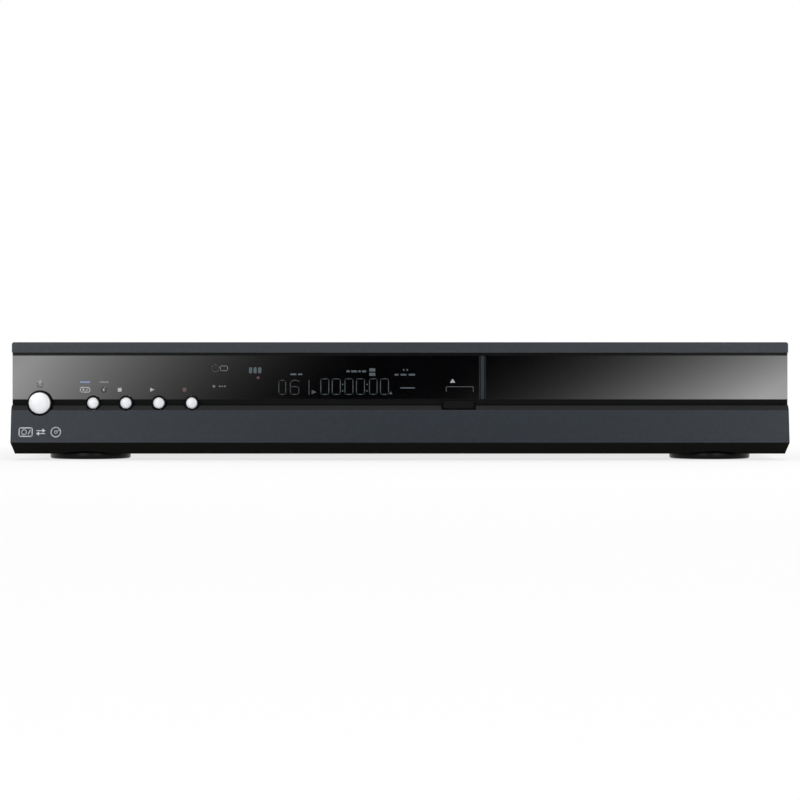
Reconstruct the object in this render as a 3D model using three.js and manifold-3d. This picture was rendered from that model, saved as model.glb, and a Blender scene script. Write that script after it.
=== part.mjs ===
// DVD hard disk recorder, millimetres, +X to the viewer's right, +Y to the rear, +Z up.
// The origin is at the centre of the bottom of the whole recorder's box.
import * as THREE from 'three';
import { mergeVertices } from 'three/addons/utils/BufferGeometryUtils.js';
import Module from 'manifold-3d';

const wasm = await Module();
wasm.setup();

// Overall
const overallWidth = 430;
const overallDepth = 331;
const sheet = 1;
const fit = 0.3;
const overrun = 5;

// Bands of the front, from the lip's lowest edge to the top
const lipBottomZ = 3.2;
const lipHeight = 6.3;
const lowerBandHeight = 17.7;
const ledgeHeight = 2.8;
const railHeight = 3.3;
const mirrorHeight = 24.3;
const grooveHeight = 1.6;
const stripHeight = 5.8;

// How far each band stands back from the frontmost edge
const lowerTopSetback = 3.5;
const ledgeTopSetback = 6;
const stripSetback = 6.2;
const mirrorSetback = 7;
const panelThickness = 2;
const fasciaWall = 2.5;
const coverSetback = 14;
const coverSideStep = 1.5;
const fasciaDepth = 20;
const topCornerCut = 0.8;
const endInset = 1.5;
const lipFootSetback = 8;
const lipFlangeThickness = 1.8;
const lipArchWidth = 29;
const lipArchRise = 1.4;

// Casing
const panRise = 15;
const footRadius = 22.5;
const footSeatRadius = 17;
const footWaistRadius = 20.6;
const footRimHeight = 3.6;
const footEdge = 0.5;
const footHeight = 6.5;
const footSideInset = 40.7;
const footFrontSetback = 33;
const footRearSetback = 36;
const jackReach = 12;
const coverLip = 7;
const coverSideBottomZ = 9;
const ventSlotLength = 22;
const ventSlotWidth = 2.4;
const ventSlotPitch = 8;
const ventRows = 2;
const ventRowPitch = 30;
const ventCount = 9;
const ventSideInset = 26;
const ventFrontSetback = 190;
const sideSlotHeight = 14;
const sideSlotCount = 6;

// Front panels and buttons: the buttons follow the left end, the bar between the panels follows the drive
const mullionToDrive = 11.35;
const mullionWidth = 1.7;
const mullionSetback = 7.4;
const mullionGap = 0.8;
const buttonZ = 31.3;
const powerSideInset = 15.7;
const powerRadius = 6;
const powerSetback = 2.6;
const firstButtonPitch = 29.4;
const smallButtonPitch = 18.2;
const smallButtonRadius = 3.1;
const smallButtonSetback = 3.8;
const collarWall = 0.6;
const buttonGap = 0.25;
const collarStandback = 1.2;
const buttonFlange = 1.6;
const buttonFlangeThickness = 1;
const buttonTravel = 0.8;
const buttonCrown = 0.35;
const buttonFaceShare = 0.7;
const trayButtonToMullion = 13.3;
const trayButtonWidth = 16.7;
const trayButtonHeight = 4.4;
const trayButtonBottomZ = 27.9;
const trayButtonSetback = 5.4;
const switchSize = 6;
const switchBodyDepth = 3.4;
const switchPlungerRadius = 1.7;
const switchPlungerReach = 0.6;
const switchBoardHeight = 20;
const boardThickness = 1.6;
const tubeToButton = 4.3;
const tubeToMullion = 30.7;
const tubeHeight = 20;
const tubeDepth = 5;
const tubeStemRadius = 2;
const tubeStemLength = 5;
const tubeMargin = 3;

// Disc drive
const driveSideGap = 10.95;
const driveWall = 2;
const driveSideMargin = 9;
const driveFrontSetback = 22;
const driveLengthShare = 0.592;
const driveFloorThickness = 2.5;
const driveDepthBelowTray = 27.2;
const driveLegRadius = 5;
const driveLegInset = 9;
const trayHalfWidth = 64.5;
const trayPlateThickness = 5.7;
const traySkin = 1.8;
const trayFrontSetback = 12;
const trayRearSpace = 13;
const trayHeldLength = 33;
const trayCornerRadius = 4;
const discRadius = 60;
const discGap = 0.5;
const discDepth = 3.5;
const smallDiscRadius = 40;
const smallDiscDepth = 0.8;
const discMargin = 6;
const slotHalfWidth = 22;
const driveRailHeight = 2;
const driveRailOverlap = 2;
const guideHeight = 1.6;
const guideLength = 12;
const bezelBossHalfWidth = 50;
const bezelBossHeight = 5;
const toothSteps = 1;
const pressureAngle = THREE.MathUtils.degToRad(20);
const addendumShare = 0.8;
const dedendumShare = 1.15;
const backlash = 0.16;
const rackModule = 1;
const rackThickness = 3.4;
const rackBack = 2.2;
const rackInset = 11;
const pinionTeeth = 16;
const gearModule = 0.8;
const wheelTeeth = 28;
const reductionTeeth = 12;
const gearThickness = 3.2;
const gearGap = 0.6;
const postRadius = 1.6;
const postBossRadius = 3.2;
const boreGap = 0.35;
const pulleyRadius = 11;
const pulleyFlange = 1;
const pulleyFlangeThickness = 0.7;
const motorPulleyRadius = 3.5;
const pulleyDistance = 30;
const beltWidth = 1.8;
const beltThickness = 1;
const motorRadius = 10.5;
const motorShaftRadius = 1;
const motorBossRadius = 3;
const motorBossHeight = 1.2;

// Traverse
const liftArm = 100;
const liftAngle = THREE.MathUtils.degToRad(4.75);
const traverseThickness = 3;
const traverseHalfWidth = 40;
const traverseFront = 24;
const traverseRear = 4;
const traverseDrop = 7;
const traverseWindow = 26;
const pinRadius = 2;
const pinReach = 10;
const bearingWidth = 7;
const bearingWall = 2.5;
const spindleRadius = 1.5;
const spindleMotorRadius = 12;
const spindleMotorHeight = 7;
const turntableRadius = 15.5;
const turntableThickness = 1.5;
const turntableNeck = 6;
const coneRadius = 7.3;
const coneTopRadius = 5.6;
const coneHeight = 1.8;
const seatAboveTray = 2.8;
const clampRadius = 14;
const clampNeckRadius = 10.2;
const clampThickness = 2.1;
const clampLidGap = 1;
const rodRadius = 1.5;
const rodSpacing = 19;
const rodHolder = 3;
const pickupHalfWidth = 15;
const pickupLength = 22;
const pickupHeight = 7;
const pickupStart = 24;
const pickupTravel = 36;
const lensRadius = 3.5;
const lensHeight = 3;
const lensRimShare = 0.6;
const lensCrownShare = 0.9;
const screwRadius = 1.3;
const sledMotorRadius = 5;
const sledMotorLength = 11;
const camThickness = 1.6;
const camMargin = 3;
const camTravel = 20;
const camPinRadius = 1.4;
const camPinSpacing = 44;
const camPinGap = 0.6;
const camGuideWidth = 10;
const camGuideHeight = 5;
const camSlotGap = 0.55;

// Hard disk, power supply and main board
const diskWidth = 101.6;
const diskLength = 147;
const diskHeight = 26.1;
const diskSideGap = 12;
const diskRearSpace = 22;
const diskTrim = 2;
const diskRise = 14;
const bracketFlange = 10;
const bracketFoot = 10;
const standoffHeight = 6;
const standoffRadius = 3;
const boardInset = 6;
const powerBoardLength = 150;
const powerBoardToDisk = 28;
const powerBoardSideGap = 8;
const transformerWidth = 34;
const transformerDepth = 30;
const transformerHeight = 28;
const transformerYoke = 7;
const transformerShares = [0.55, 0.44];
const capacitorRadius = 12.5;
const capacitorHeight = 34;
const capacitorBeadHeight = 4.25;
const capacitorShares = [0.3, 0.16];
const sinkLengthShare = 0.42;
const sinkShares = [0.55, 0.7];
const sinkHeight = 32;
const sinkDepth = 16;
const sinkFin = 1.6;
const sinkFins = 5;
const mainBoardGap = 11;
const processorShares = [0.45, 0.42];
const processorHeight = 2.2;
const memoryWidth = 11;
const memoryHeight = 1.2;
const cableSocketWidth = 6;
const cableSocketHeight = 6;
const mainSinkShare = 0.43;
const mainSinkHeight = 10;
const mainSinkFins = 9;
const tunerWidth = 44;
const tunerLengthShare = 0.59;
const tunerHeight = 14;
const cableWidth = 40;
const cableThickness = 1;
const cableDrop = 8;
const fanSize = 50;
const fanDepth = 15;
const fanBore = 23;
const fanHubRadius = 11;
const fanBlades = 7;
const fanBladeThickness = 1.4;
const fanTipGap = 1;
const fanSideGap = 4;
const fanStrutWidth = 3;
const fanHubGap = 2.2;
const fanPitch = THREE.MathUtils.degToRad(38);
const fanZ = 36;
const fanScrewInset = 5;
const fanScrewRadius = 2;

// Rear sockets: the mains inlet follows the left end, the others stand along the main board
const inletSideInset = 29;
const inletWidth = 26;
const inletHeight = 20;
const inletDepth = 20;
const inletWall = 3;
const inletPinRadius = 1.2;
const inletPinPitch = 8.6;
const inletPinLength = 9;
const jackBlockShare = 0.2;
const jackColumns = 4;
const jackRows = 2;
const jackPitch = 15;
const jackRadius = 4.3;
const jackBoreRadius = 1.8;
const jackBlockDepth = 14;
const jackReachShare = 0.66;
const hdmiShare = 0.45;
const hdmiWidth = 15;
const hdmiHeight = 5.6;
const lanShare = 0.5675;
const lanWidth = 16;
const lanHeight = 13.5;
const lanCavityWidth = 11.6;
const lanCavityHeight = 8;
const opticalShare = 0.675;
const opticalWidth = 10;
const socketDepth = 18;
const socketWall = 0.8;
const antennaShare = 0.8555;
const antennaPitch = 22;
const antennaRadius = 4.7;
const antennaBaseRadius = 6.5;
const antennaBase = 3;
const antennaBore = 1.2;

// Facets round a full turn
const archSteps = 96;
const fineSteps = 22;
const buttonSteps = 16;
const roundSteps = 12;
const smallSteps = 8;
const cornerSteps = 3;

// Levels and planes that follow from the sizes above
const lipTopZ = lipBottomZ + lipHeight;
const lowerTopZ = lipTopZ + lowerBandHeight;
const ledgeTopZ = lowerTopZ + ledgeHeight;
const mirrorBottomZ = ledgeTopZ + railHeight;
const mirrorTopZ = mirrorBottomZ + mirrorHeight;
const stripBottomZ = mirrorTopZ + grooveHeight;
const topZ = stripBottomZ + stripHeight;
const halfWidth = overallWidth / 2;
const frontY = -overallDepth / 2;
const rearY = overallDepth / 2;
const behind = (setback) => frontY + setback;
const panelY = behind(mirrorSetback);
const wallY = panelY + panelThickness;
const rearPlateY = rearY - jackReach;
const innerRearY = rearPlateY - sheet;
const coverHalfWidth = halfWidth - coverSideStep;
const innerHalfWidth = coverHalfWidth - sheet - sheet;
const panBottomZ = footHeight;
const panTopZ = panBottomZ + sheet;
const coverInnerZ = topZ - sheet;
const boardZ = panTopZ + standoffHeight;
const boardTopZ = boardZ + boardThickness;
const powerX = -halfWidth + powerSideInset;
const smallButtonX = powerX + firstButtonPitch;
const driveHalfWidth = trayHalfWidth + driveSideMargin;
const driveX = halfWidth - driveSideGap - driveHalfWidth;
const driveLength = overallDepth * driveLengthShare;
const trayLength = driveLength - trayRearSpace;
const trayTravel = trayLength - trayHeldLength;
const mullionX = driveX - driveHalfWidth - mullionToDrive;
const trayButtonX = mullionX - trayButtonToMullion;

// Finishes
const looks = {
  bluegrey: { color: 0x4a4f56, roughness: 0.55, metalness: 0.1 },
  black: { color: 0x141415, roughness: 0.5, metalness: 0 },
  gloss: { color: 0x0a0b0e, roughness: 0.08, metalness: 0 },
  silver: { color: 0xe4e5e8, roughness: 0.3, metalness: 0.8 },
  cover: { color: 0x1d1e20, roughness: 0.6, metalness: 0.4 },
  zinc: { color: 0xa9adb0, roughness: 0.4, metalness: 0.9 },
  steel: { color: 0xc4c6c8, roughness: 0.25, metalness: 1 },
  board: { color: 0x1f5a35, roughness: 0.5, metalness: 0 },
  ivory: { color: 0xd9d5c4, roughness: 0.5, metalness: 0 },
  glass: { color: 0x1c2a2a, roughness: 0.1, metalness: 0 },
  rubber: { color: 0x101010, roughness: 0.8, metalness: 0 },
  aluminium: { color: 0xb8bbbe, roughness: 0.35, metalness: 0.9 },
  copper: { color: 0xb5733a, roughness: 0.4, metalness: 0.7 },
  cable: { color: 0xb9bcc0, roughness: 0.6, metalness: 0 },
};

// A closed solid from a three.js geometry, its faces turned outwards
function solid(geometry) {
  const bare = geometry.clone();
  bare.deleteAttribute('normal');
  bare.deleteAttribute('uv');
  const welded = mergeVertices(bare);
  const places = welded.attributes.position.array;
  const corners = welded.index.array;
  const kept = [];
  let volume = 0;
  for (let i = 0; i < corners.length; i += 3) {
    const [a, b, c] = corners.slice(i, i + 3);
    if (a === b || b === c || c === a) continue;
    const [pa, pb, pc] = [a, b, c].map((k) => new THREE.Vector3().fromArray(places, k * 3));
    volume += pa.dot(pb.cross(pc));
    kept.push(a, b, c);
  }
  if (volume < 0) kept.reverse();
  const mesh = new wasm.Mesh({
    numProp: 3,
    vertProperties: new Float32Array(places),
    triVerts: new Uint32Array(kept),
  });
  return new wasm.Manifold(mesh);
}

const join = (...solids) => solids.flat().reduce((whole, next) => whole.add(next));
const cut = (body, ...tools) => tools.flat().reduce((rest, tool) => rest.subtract(tool), body);
const moved = (body, x, y, z) => body.translate([x, y, z]);
const mirroredX = (body) => body.mirror([1, 0, 0]);
const mirroredPair = (body) => [body, mirroredX(body)];

// A box between two planes on each axis
function block([x0, x1], [y0, y1], [z0, z1]) {
  const geometry = new THREE.BoxGeometry(x1 - x0, y1 - y0, z1 - z0);
  geometry.translate((x0 + x1) / 2, (y0 + y1) / 2, (z0 + z1) / 2);
  return solid(geometry);
}

// A prism from an outline. Along x the outline is y and z, along y it is x and z, along z it is x and y.
const prismFrames = {
  x: (near) => new THREE.Matrix4().set(0, 0, 1, near, 1, 0, 0, 0, 0, 1, 0, 0, 0, 0, 0, 1),
  y: (near, far) => new THREE.Matrix4().set(1, 0, 0, 0, 0, 0, -1, far, 0, 1, 0, 0, 0, 0, 0, 1),
  z: (near) => new THREE.Matrix4().makeTranslation(0, 0, near),
};
function prism(outline, axis, [near, far], curveSteps = cornerSteps) {
  const shape = Array.isArray(outline)
    ? new THREE.Shape(outline.map(([u, v]) => new THREE.Vector2(u, v)))
    : outline;
  const geometry = new THREE.ExtrudeGeometry(shape, {
    depth: far - near,
    bevelEnabled: false,
    curveSegments: curveSteps,
  });
  geometry.applyMatrix4(prismFrames[axis](near, far));
  return solid(geometry);
}

// A cylinder, and a turned profile of radius and height pairs, along an axis through a point
const turnFrames = {
  x: new THREE.Matrix4().makeRotationZ(-Math.PI / 2),
  y: new THREE.Matrix4(),
  z: new THREE.Matrix4().makeRotationX(Math.PI / 2),
};
function turned(profile, axis, [x, y, z], steps = roundSteps) {
  const geometry = new THREE.LatheGeometry(profile.map(([r, h]) => new THREE.Vector2(r, h)), steps);
  geometry.applyMatrix4(turnFrames[axis]);
  geometry.translate(x, y, z);
  return solid(geometry);
}
function rod(radius, axis, [near, far], [u, v], steps = roundSteps) {
  const places = { x: [0, u, v], y: [u, 0, v], z: [u, v, 0] };
  return turned([[0, near], [radius, near], [radius, far], [0, far]], axis, places[axis], steps);
}

function roundedOutline(halfLong, halfWide, radius) {
  const shape = new THREE.Shape();
  const long = halfLong - radius;
  const wide = halfWide - radius;
  shape.absarc(long, wide, radius, 0, Math.PI / 2);
  shape.absarc(-long, wide, radius, Math.PI / 2, Math.PI);
  shape.absarc(-long, -wide, radius, Math.PI, Math.PI * 1.5);
  shape.absarc(long, -wide, radius, Math.PI * 1.5, Math.PI * 2);
  return shape;
}

const recorder = new THREE.Group();
function place(name, look, body) {
  const { vertProperties, triVerts } = body.getMesh();
  const geometry = new THREE.BufferGeometry();
  geometry.setAttribute('position', new THREE.BufferAttribute(vertProperties, 3));
  geometry.setIndex(new THREE.BufferAttribute(triVerts, 1));
  geometry.computeVertexNormals();
  const mesh = new THREE.Mesh(geometry, new THREE.MeshStandardMaterial(looks[look]));
  mesh.name = name;
  recorder.add(mesh);
}

// Buttons: the round ones by place and radius, all at one height
const roundButtons = [
  { name: 'power_button', x: powerX, radius: powerRadius, setback: powerSetback },
  ...['source_button', 'stop_button', 'play_button', 'record_button'].map((name, i) => ({
    name,
    x: smallButtonX + i * smallButtonPitch,
    radius: smallButtonRadius,
    setback: smallButtonSetback,
  })),
];
const collarRadius = (button) => button.radius + buttonGap + collarWall;
const wallBackY = wallY + fasciaWall;
const flangeY = wallBackY + fit;
const stemEndY = flangeY + buttonFlangeThickness;
const switchFrontY = stemEndY + buttonTravel + fit;
const switchBoardY = switchFrontY + switchPlungerReach + switchBodyDepth;
const trayButtonX0 = trayButtonX - trayButtonWidth / 2;
const trayButtonX1 = trayButtonX + trayButtonWidth / 2;
const trayButtonTopZ = trayButtonBottomZ + trayButtonHeight;

// Tray levels, which the front's tray opening follows
const trayTopZ = (mirrorBottomZ + mirrorTopZ) / 2 + discDepth;
const trayBottomZ = trayTopZ - trayPlateThickness;
const recessZ = trayTopZ - discDepth;
const driveX0 = driveX - driveHalfWidth;
const driveX1 = driveX + driveHalfWidth;
const bezelX0 = mullionX + mullionWidth / 2 + mullionGap;
const bezelX1 = halfWidth - fit;
const windowX0 = -halfWidth + fit;
const windowX1 = mullionX - mullionWidth / 2 - mullionGap;
const tubeX0 = roundButtons[roundButtons.length - 1].x + tubeToButton;
const tubeX1 = mullionX - tubeToMullion;
const tubeZ = mirrorTopZ - tubeHeight / 2 - tubeMargin;

function frontFascia() {
  const profile = [
    [frontY, lipTopZ],
    [behind(lowerTopSetback), lowerTopZ],
    [behind(ledgeTopSetback), ledgeTopZ],
    [panelY, ledgeTopZ],
    [panelY, stripBottomZ],
    [behind(stripSetback), stripBottomZ],
    [behind(stripSetback), topZ],
    [behind(fasciaDepth), topZ],
    [behind(fasciaDepth), lipTopZ],
  ];
  const hollow = [
    [frontY + fasciaWall, lipTopZ - overrun],
    [frontY + fasciaWall, lipTopZ],
    [behind(lowerTopSetback) + fasciaWall, lowerTopZ],
    [wallBackY, ledgeTopZ],
    [wallBackY, coverInnerZ - fasciaWall],
    [behind(fasciaDepth) + overrun, coverInnerZ - fasciaWall],
    [behind(fasciaDepth) + overrun, lipTopZ - overrun],
  ];
  const rearHalf = coverHalfWidth - sheet;
  const hollowHalf = rearHalf - fasciaWall;
  const front = [
    [-halfWidth, lipTopZ - overrun],
    [halfWidth, lipTopZ - overrun],
    [halfWidth, topZ - topCornerCut],
    [halfWidth - topCornerCut, topZ],
    [-halfWidth + topCornerCut, topZ],
    [-halfWidth, topZ - topCornerCut],
  ];
  const shell = cut(
    prism(profile, 'x', [-halfWidth, halfWidth]).intersect(
      prism(front, 'y', [frontY - overrun, behind(fasciaDepth) + overrun])),
    prism(hollow, 'x', [-hollowHalf, hollowHalf]),
    block([-halfWidth - overrun, halfWidth + overrun], [frontY - overrun, wallY], [ledgeTopZ, stripBottomZ]),
    mirroredPair(block([rearHalf, halfWidth + overrun],
      [behind(coverSetback), behind(fasciaDepth) + overrun], [lipTopZ - overrun, topZ + overrun])),
    block([-halfWidth - overrun, halfWidth + overrun],
      [behind(coverSetback), behind(fasciaDepth) + overrun], [coverInnerZ, topZ + overrun]),
  );
  const through = [frontY - overrun, wallBackY + overrun];
  const mullion = block([mullionX - mullionWidth / 2, mullionX + mullionWidth / 2],
    [behind(mullionSetback), wallBackY], [mirrorBottomZ, mirrorTopZ]);
  return join(cut(
    shell,
    roundButtons.map((button) => rod(collarRadius(button) + fit, 'y', through, [button.x, buttonZ],
      buttonSteps)),
    block([trayButtonX0 - collarWall - fit - buttonGap, trayButtonX1 + collarWall + fit + buttonGap], through,
      [trayButtonBottomZ - buttonGap, trayButtonTopZ + buttonGap + collarWall + fit]),
    block([tubeX0 - fit, tubeX1 + fit], through,
      [tubeZ - tubeHeight / 2 - fit, tubeZ + tubeHeight / 2 + fit]),
    block([driveX - trayHalfWidth - fit - fit, driveX + trayHalfWidth + fit + fit], through,
      [trayBottomZ - rackThickness - fit, trayTopZ + fit + fit]),
  ), mullion);
}

function lowerLip() {
  const seatZ = panBottomZ;
  const flangeTopZ = lipBottomZ + lipFlangeThickness;
  const profile = [
    [frontY, lipTopZ],
    [behind(lipFootSetback), lipBottomZ],
    [behind(lipFootSetback) + fasciaWall, lipBottomZ],
    [behind(lipFootSetback) + fasciaWall, flangeTopZ],
    [behind(fasciaDepth), flangeTopZ],
    [behind(fasciaDepth), seatZ],
    [behind(lipFootSetback), seatZ],
    [frontY + fasciaWall, lipTopZ],
  ];
  const ends = [
    [-halfWidth, lipTopZ],
    [-halfWidth + endInset, lipBottomZ],
    [halfWidth - endInset, lipBottomZ],
    [halfWidth, lipTopZ],
  ];
  const archRadius = (lipArchWidth ** 2 / 4 + lipArchRise ** 2) / (2 * lipArchRise);
  const archZ = lipBottomZ + lipArchRise - archRadius;
  const arch = rod(archRadius, 'y', [frontY - overrun, behind(fasciaDepth) + overrun],
    [halfWidth - footSideInset, archZ], archSteps);
  const footSpace = rod(footRadius + fit, 'z', [lipBottomZ - overrun, lipTopZ + overrun],
    [halfWidth - footSideInset, behind(footFrontSetback)], fineSteps);
  return cut(
    prism(profile, 'x', [-halfWidth, halfWidth]).intersect(
      prism(ends, 'y', [frontY - overrun, behind(fasciaDepth) + overrun])),
    mirroredPair(arch.intersect(block([0, halfWidth], [frontY, behind(fasciaDepth)],
      [lipBottomZ - overrun, lipTopZ]))),
    mirroredPair(footSpace),
  );
}

function displayWindow() {
  return cut(
    block([windowX0, windowX1], [panelY, wallY], [mirrorBottomZ, mirrorTopZ]),
    roundButtons.map((button) => rod(collarRadius(button) + fit, 'y',
      [panelY - overrun, wallY + overrun], [button.x, buttonZ], buttonSteps)),
  );
}

function buttonRail() {
  const bar = block([windowX0, bezelX1],
    [panelY + (wallY - panelY) / 3, wallY], [ledgeTopZ + fit, mirrorBottomZ - fit]);
  const collars = roundButtons.map((button) => rod(collarRadius(button), 'y',
    [behind(button.setback) + collarStandback, wallBackY], [button.x, buttonZ], buttonSteps));
  const sleeve = block([trayButtonX0 - buttonGap - collarWall, trayButtonX1 + buttonGap + collarWall],
    [behind(trayButtonSetback) + collarStandback, wallBackY],
      [trayButtonBottomZ, trayButtonTopZ + buttonGap + collarWall]);
  const through = [frontY - overrun, wallBackY + overrun];
  return cut(
    join(bar, collars, sleeve),
    roundButtons.map((button) => rod(button.radius + buttonGap, 'y', through, [button.x, buttonZ],
      buttonSteps)),
    block([trayButtonX0 - buttonGap, trayButtonX1 + buttonGap], through,
      [trayButtonBottomZ - overrun, trayButtonTopZ + buttonGap]),
  );
}

function roundButton(button) {
  const faceY = behind(button.setback);
  const profile = [
    [0, faceY],
    [button.radius * buttonFaceShare, faceY + buttonCrown / 3],
    [button.radius - buttonCrown, faceY + buttonCrown],
    [button.radius, faceY + buttonCrown + buttonCrown],
    [button.radius, flangeY],
    [button.radius + buttonFlange, flangeY],
    [button.radius + buttonFlange, stemEndY],
    [0, stemEndY],
  ];
  return turned(profile, 'y', [button.x, 0, buttonZ], buttonSteps);
}

function openCloseButton() {
  const faceY = behind(trayButtonSetback);
  const cap = [
    [faceY + buttonCrown, trayButtonBottomZ],
    [faceY, trayButtonBottomZ + buttonCrown],
    [faceY, trayButtonTopZ - buttonCrown],
    [faceY + buttonCrown, trayButtonTopZ],
    [flangeY + fit, trayButtonTopZ],
    [flangeY + fit, trayButtonBottomZ],
  ];
  const flange = block([trayButtonX0 - buttonFlange, trayButtonX1 + buttonFlange], [flangeY, stemEndY],
    [trayButtonBottomZ - buttonFlange, trayButtonTopZ + buttonFlange]);
  return join(prism(cap, 'x', [trayButtonX0, trayButtonX1]), flange);
}

function trayBezel() {
  const plate = block([bezelX0, bezelX1], [panelY, wallY - fit], [mirrorBottomZ, mirrorTopZ]);
  const bossZ = trayTopZ - (trayPlateThickness - bezelBossHeight) / 2;
  const boss = block([driveX - bezelBossHalfWidth, driveX + bezelBossHalfWidth],
    [wallY - fit, behind(trayFrontSetback)], [bossZ - bezelBossHeight, bossZ]);
  return join(plate, boss);
}

// A switch board: an upright board with a press switch behind each button
function switchBoard() {
  const boardEdgeZ = buttonZ + collarWall + switchSize / 2;
  const board = block([powerX - powerRadius, trayButtonX1 + switchSize],
    [switchBoardY, switchBoardY + boardThickness], [boardEdgeZ - switchBoardHeight, boardEdgeZ]);
  const trayButtonZ = (trayButtonBottomZ + trayButtonTopZ) / 2;
  const switches = [...roundButtons.map((button) => [button.x, buttonZ]), [trayButtonX, trayButtonZ]]
    .map(([x, z]) => join(
      block([x - switchSize / 2, x + switchSize / 2], [switchBoardY - switchBodyDepth, switchBoardY],
        [z - switchSize / 2, z + switchSize / 2]),
      rod(switchPlungerRadius, 'y', [switchBoardY - switchBodyDepth - switchPlungerReach, switchBoardY],
        [x, z], smallSteps),
    ));
  return join(board, switches);
}

const displayBoardY = wallBackY + tubeDepth + tubeStemLength;
function displayTube() {
  const envelope = block([tubeX0, tubeX1],
    [wallY + fit, wallY + fit + tubeDepth], [tubeZ - tubeHeight / 2, tubeZ + tubeHeight / 2]);
  const stem = rod(tubeStemRadius, 'y', [wallY + tubeDepth, displayBoardY],
    [tubeX1 - tubeMargin - tubeStemRadius, tubeZ], smallSteps);
  return join(envelope, stem);
}
function displayBoard() {
  return block([tubeX0 - tubeMargin, tubeX1 + tubeMargin],
    [displayBoardY, displayBoardY + boardThickness],
      [tubeZ - tubeHeight / 2 - tubeMargin, coverInnerZ - fasciaWall - fit]);
}

place('front_fascia', 'bluegrey', frontFascia());
place('lower_lip', 'black', lowerLip());
place('display_window', 'gloss', displayWindow());
place('button_rail', 'black', buttonRail());
roundButtons.forEach((button) => place(button.name, 'silver', roundButton(button)));
place('open_close_button', 'black', openCloseButton());
place('tray_bezel', 'gloss', trayBezel());
place('switch_board', 'board', switchBoard());
place('vfd_display', 'glass', displayTube());
place('display_board', 'board', displayBoard());

// Casing
const coverY0 = behind(coverSetback);
const panFrontY = behind(fasciaDepth);
function topCover() {
  const side = coverHalfWidth;
  const outer = block([-side, side], [coverY0, rearPlateY + sheet], [coverSideBottomZ, topZ]);
  const inner = block([-side + sheet, side - sheet], [coverY0 - overrun, rearPlateY],
    [coverSideBottomZ - overrun, coverInnerZ]);
  const rearWindow = block([-side + coverLip, side - coverLip],
    [rearPlateY - overrun, rearPlateY + sheet + overrun], [coverSideBottomZ - overrun, topZ - coverLip]);
  const slots = [];
  for (let row = 0; row < ventRows; row += 1) {
    const y = behind(ventFrontSetback) + row * ventRowPitch;
    for (let i = 0; i < ventCount; i += 1) {
      const x = -halfWidth + ventSideInset + i * ventSlotPitch;
      slots.push(block([x, x + ventSlotWidth], [y, y + ventSlotLength],
        [coverInnerZ - overrun, topZ + overrun]));
    }
  }
  const sideZ = (coverSideBottomZ + topZ) / 2;
  for (let i = 0; i < sideSlotCount; i += 1) {
    const y = behind(ventFrontSetback) + i * ventSlotPitch;
    slots.push(block([-halfWidth - overrun, halfWidth + overrun], [y, y + ventSlotWidth],
      [sideZ - sideSlotHeight / 2, sideZ + sideSlotHeight / 2]));
  }
  return cut(outer, inner, rearWindow, slots);
}

// Where the boards, the disk and the drive stand
const powerBoardX0 = -innerHalfWidth + powerBoardSideGap;
const mainBoardX1 = innerHalfWidth - boardInset;
const mainBoardY1 = innerRearY - sheet;
const driveFrontY = behind(driveFrontSetback);
const driveRearY = driveFrontY + driveLength;
const mainBoardY0 = driveRearY + mainBoardGap;
const mainBoardLength = mainBoardY1 - mainBoardY0;
const diskX1 = driveX0 - diskSideGap;
const diskX0 = diskX1 - diskWidth;
const powerBoardX1 = diskX0 - powerBoardToDisk;
const powerBoardWidth = powerBoardX1 - powerBoardX0;
const fanX = powerBoardX1 + fanSideGap + fanSize / 2;
const mainBoardX0 = fanX + fanSize / 2 + fanSideGap;
const mainBoardWidth = mainBoardX1 - mainBoardX0;
const powerBoardY1 = innerRearY - boardInset;
const powerBoardY0 = powerBoardY1 - powerBoardLength;
const inletX = -halfWidth + inletSideInset;
const jackBlockX = mainBoardX0 + mainBoardWidth * jackBlockShare;
const hdmiX = mainBoardX0 + mainBoardWidth * hdmiShare;
const lanX = mainBoardX0 + mainBoardWidth * lanShare;
const opticalX = mainBoardX0 + mainBoardWidth * opticalShare;
const antennaX = mainBoardX0 + mainBoardWidth * antennaShare;
const boards = [
  [powerBoardX0, powerBoardX1, powerBoardY0, powerBoardY1],
  [mainBoardX0, mainBoardX1, mainBoardY0, mainBoardY1],
];
const footPlaces = {
  foot_front_left: [-halfWidth + footSideInset, behind(footFrontSetback)],
  foot_front_right: [halfWidth - footSideInset, behind(footFrontSetback)],
  foot_rear_left: [-halfWidth + footSideInset, rearPlateY - footRearSetback],
  foot_rear_right: [halfWidth - footSideInset, rearPlateY - footRearSetback],
};

function chassisPan() {
  const side = coverHalfWidth - sheet;
  const base = block([-side, side], [behind(fasciaDepth) - lipFootSetback, innerRearY],
    [panBottomZ, panTopZ]);
  const walls = mirroredPair(block([side - sheet, side], [panFrontY, innerRearY],
    [panBottomZ, panTopZ + panRise]));
  const flange = block([-side, side], [panFrontY, panFrontY + sheet], [panBottomZ, panTopZ + panRise]);
  const posts = boards.flatMap(([x0, x1, y0, y1]) => [x0 + boardInset, x1 - boardInset].flatMap((x) =>
    [y0 + boardInset, y1 - boardInset].map((y) =>
      rod(standoffRadius, 'z', [panBottomZ, boardZ], [x, y], smallSteps))));
  const driveLegs = drivePosts.map((centre) =>
    rod(driveLegRadius, 'z', [panBottomZ, driveFloorZ], centre, smallSteps));
  return join(base, walls, flange, posts, driveLegs);
}

function foot([x, y]) {
  return turned([
    [0, 0],
    [footRadius - footEdge, 0],
    [footRadius, footEdge],
    [footRadius, footRimHeight + footEdge],
    [footWaistRadius, footRimHeight + footEdge * 2],
    [footSeatRadius, panBottomZ],
    [0, panBottomZ],
  ], 'z', [x, y, 0], fineSteps);
}

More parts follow.
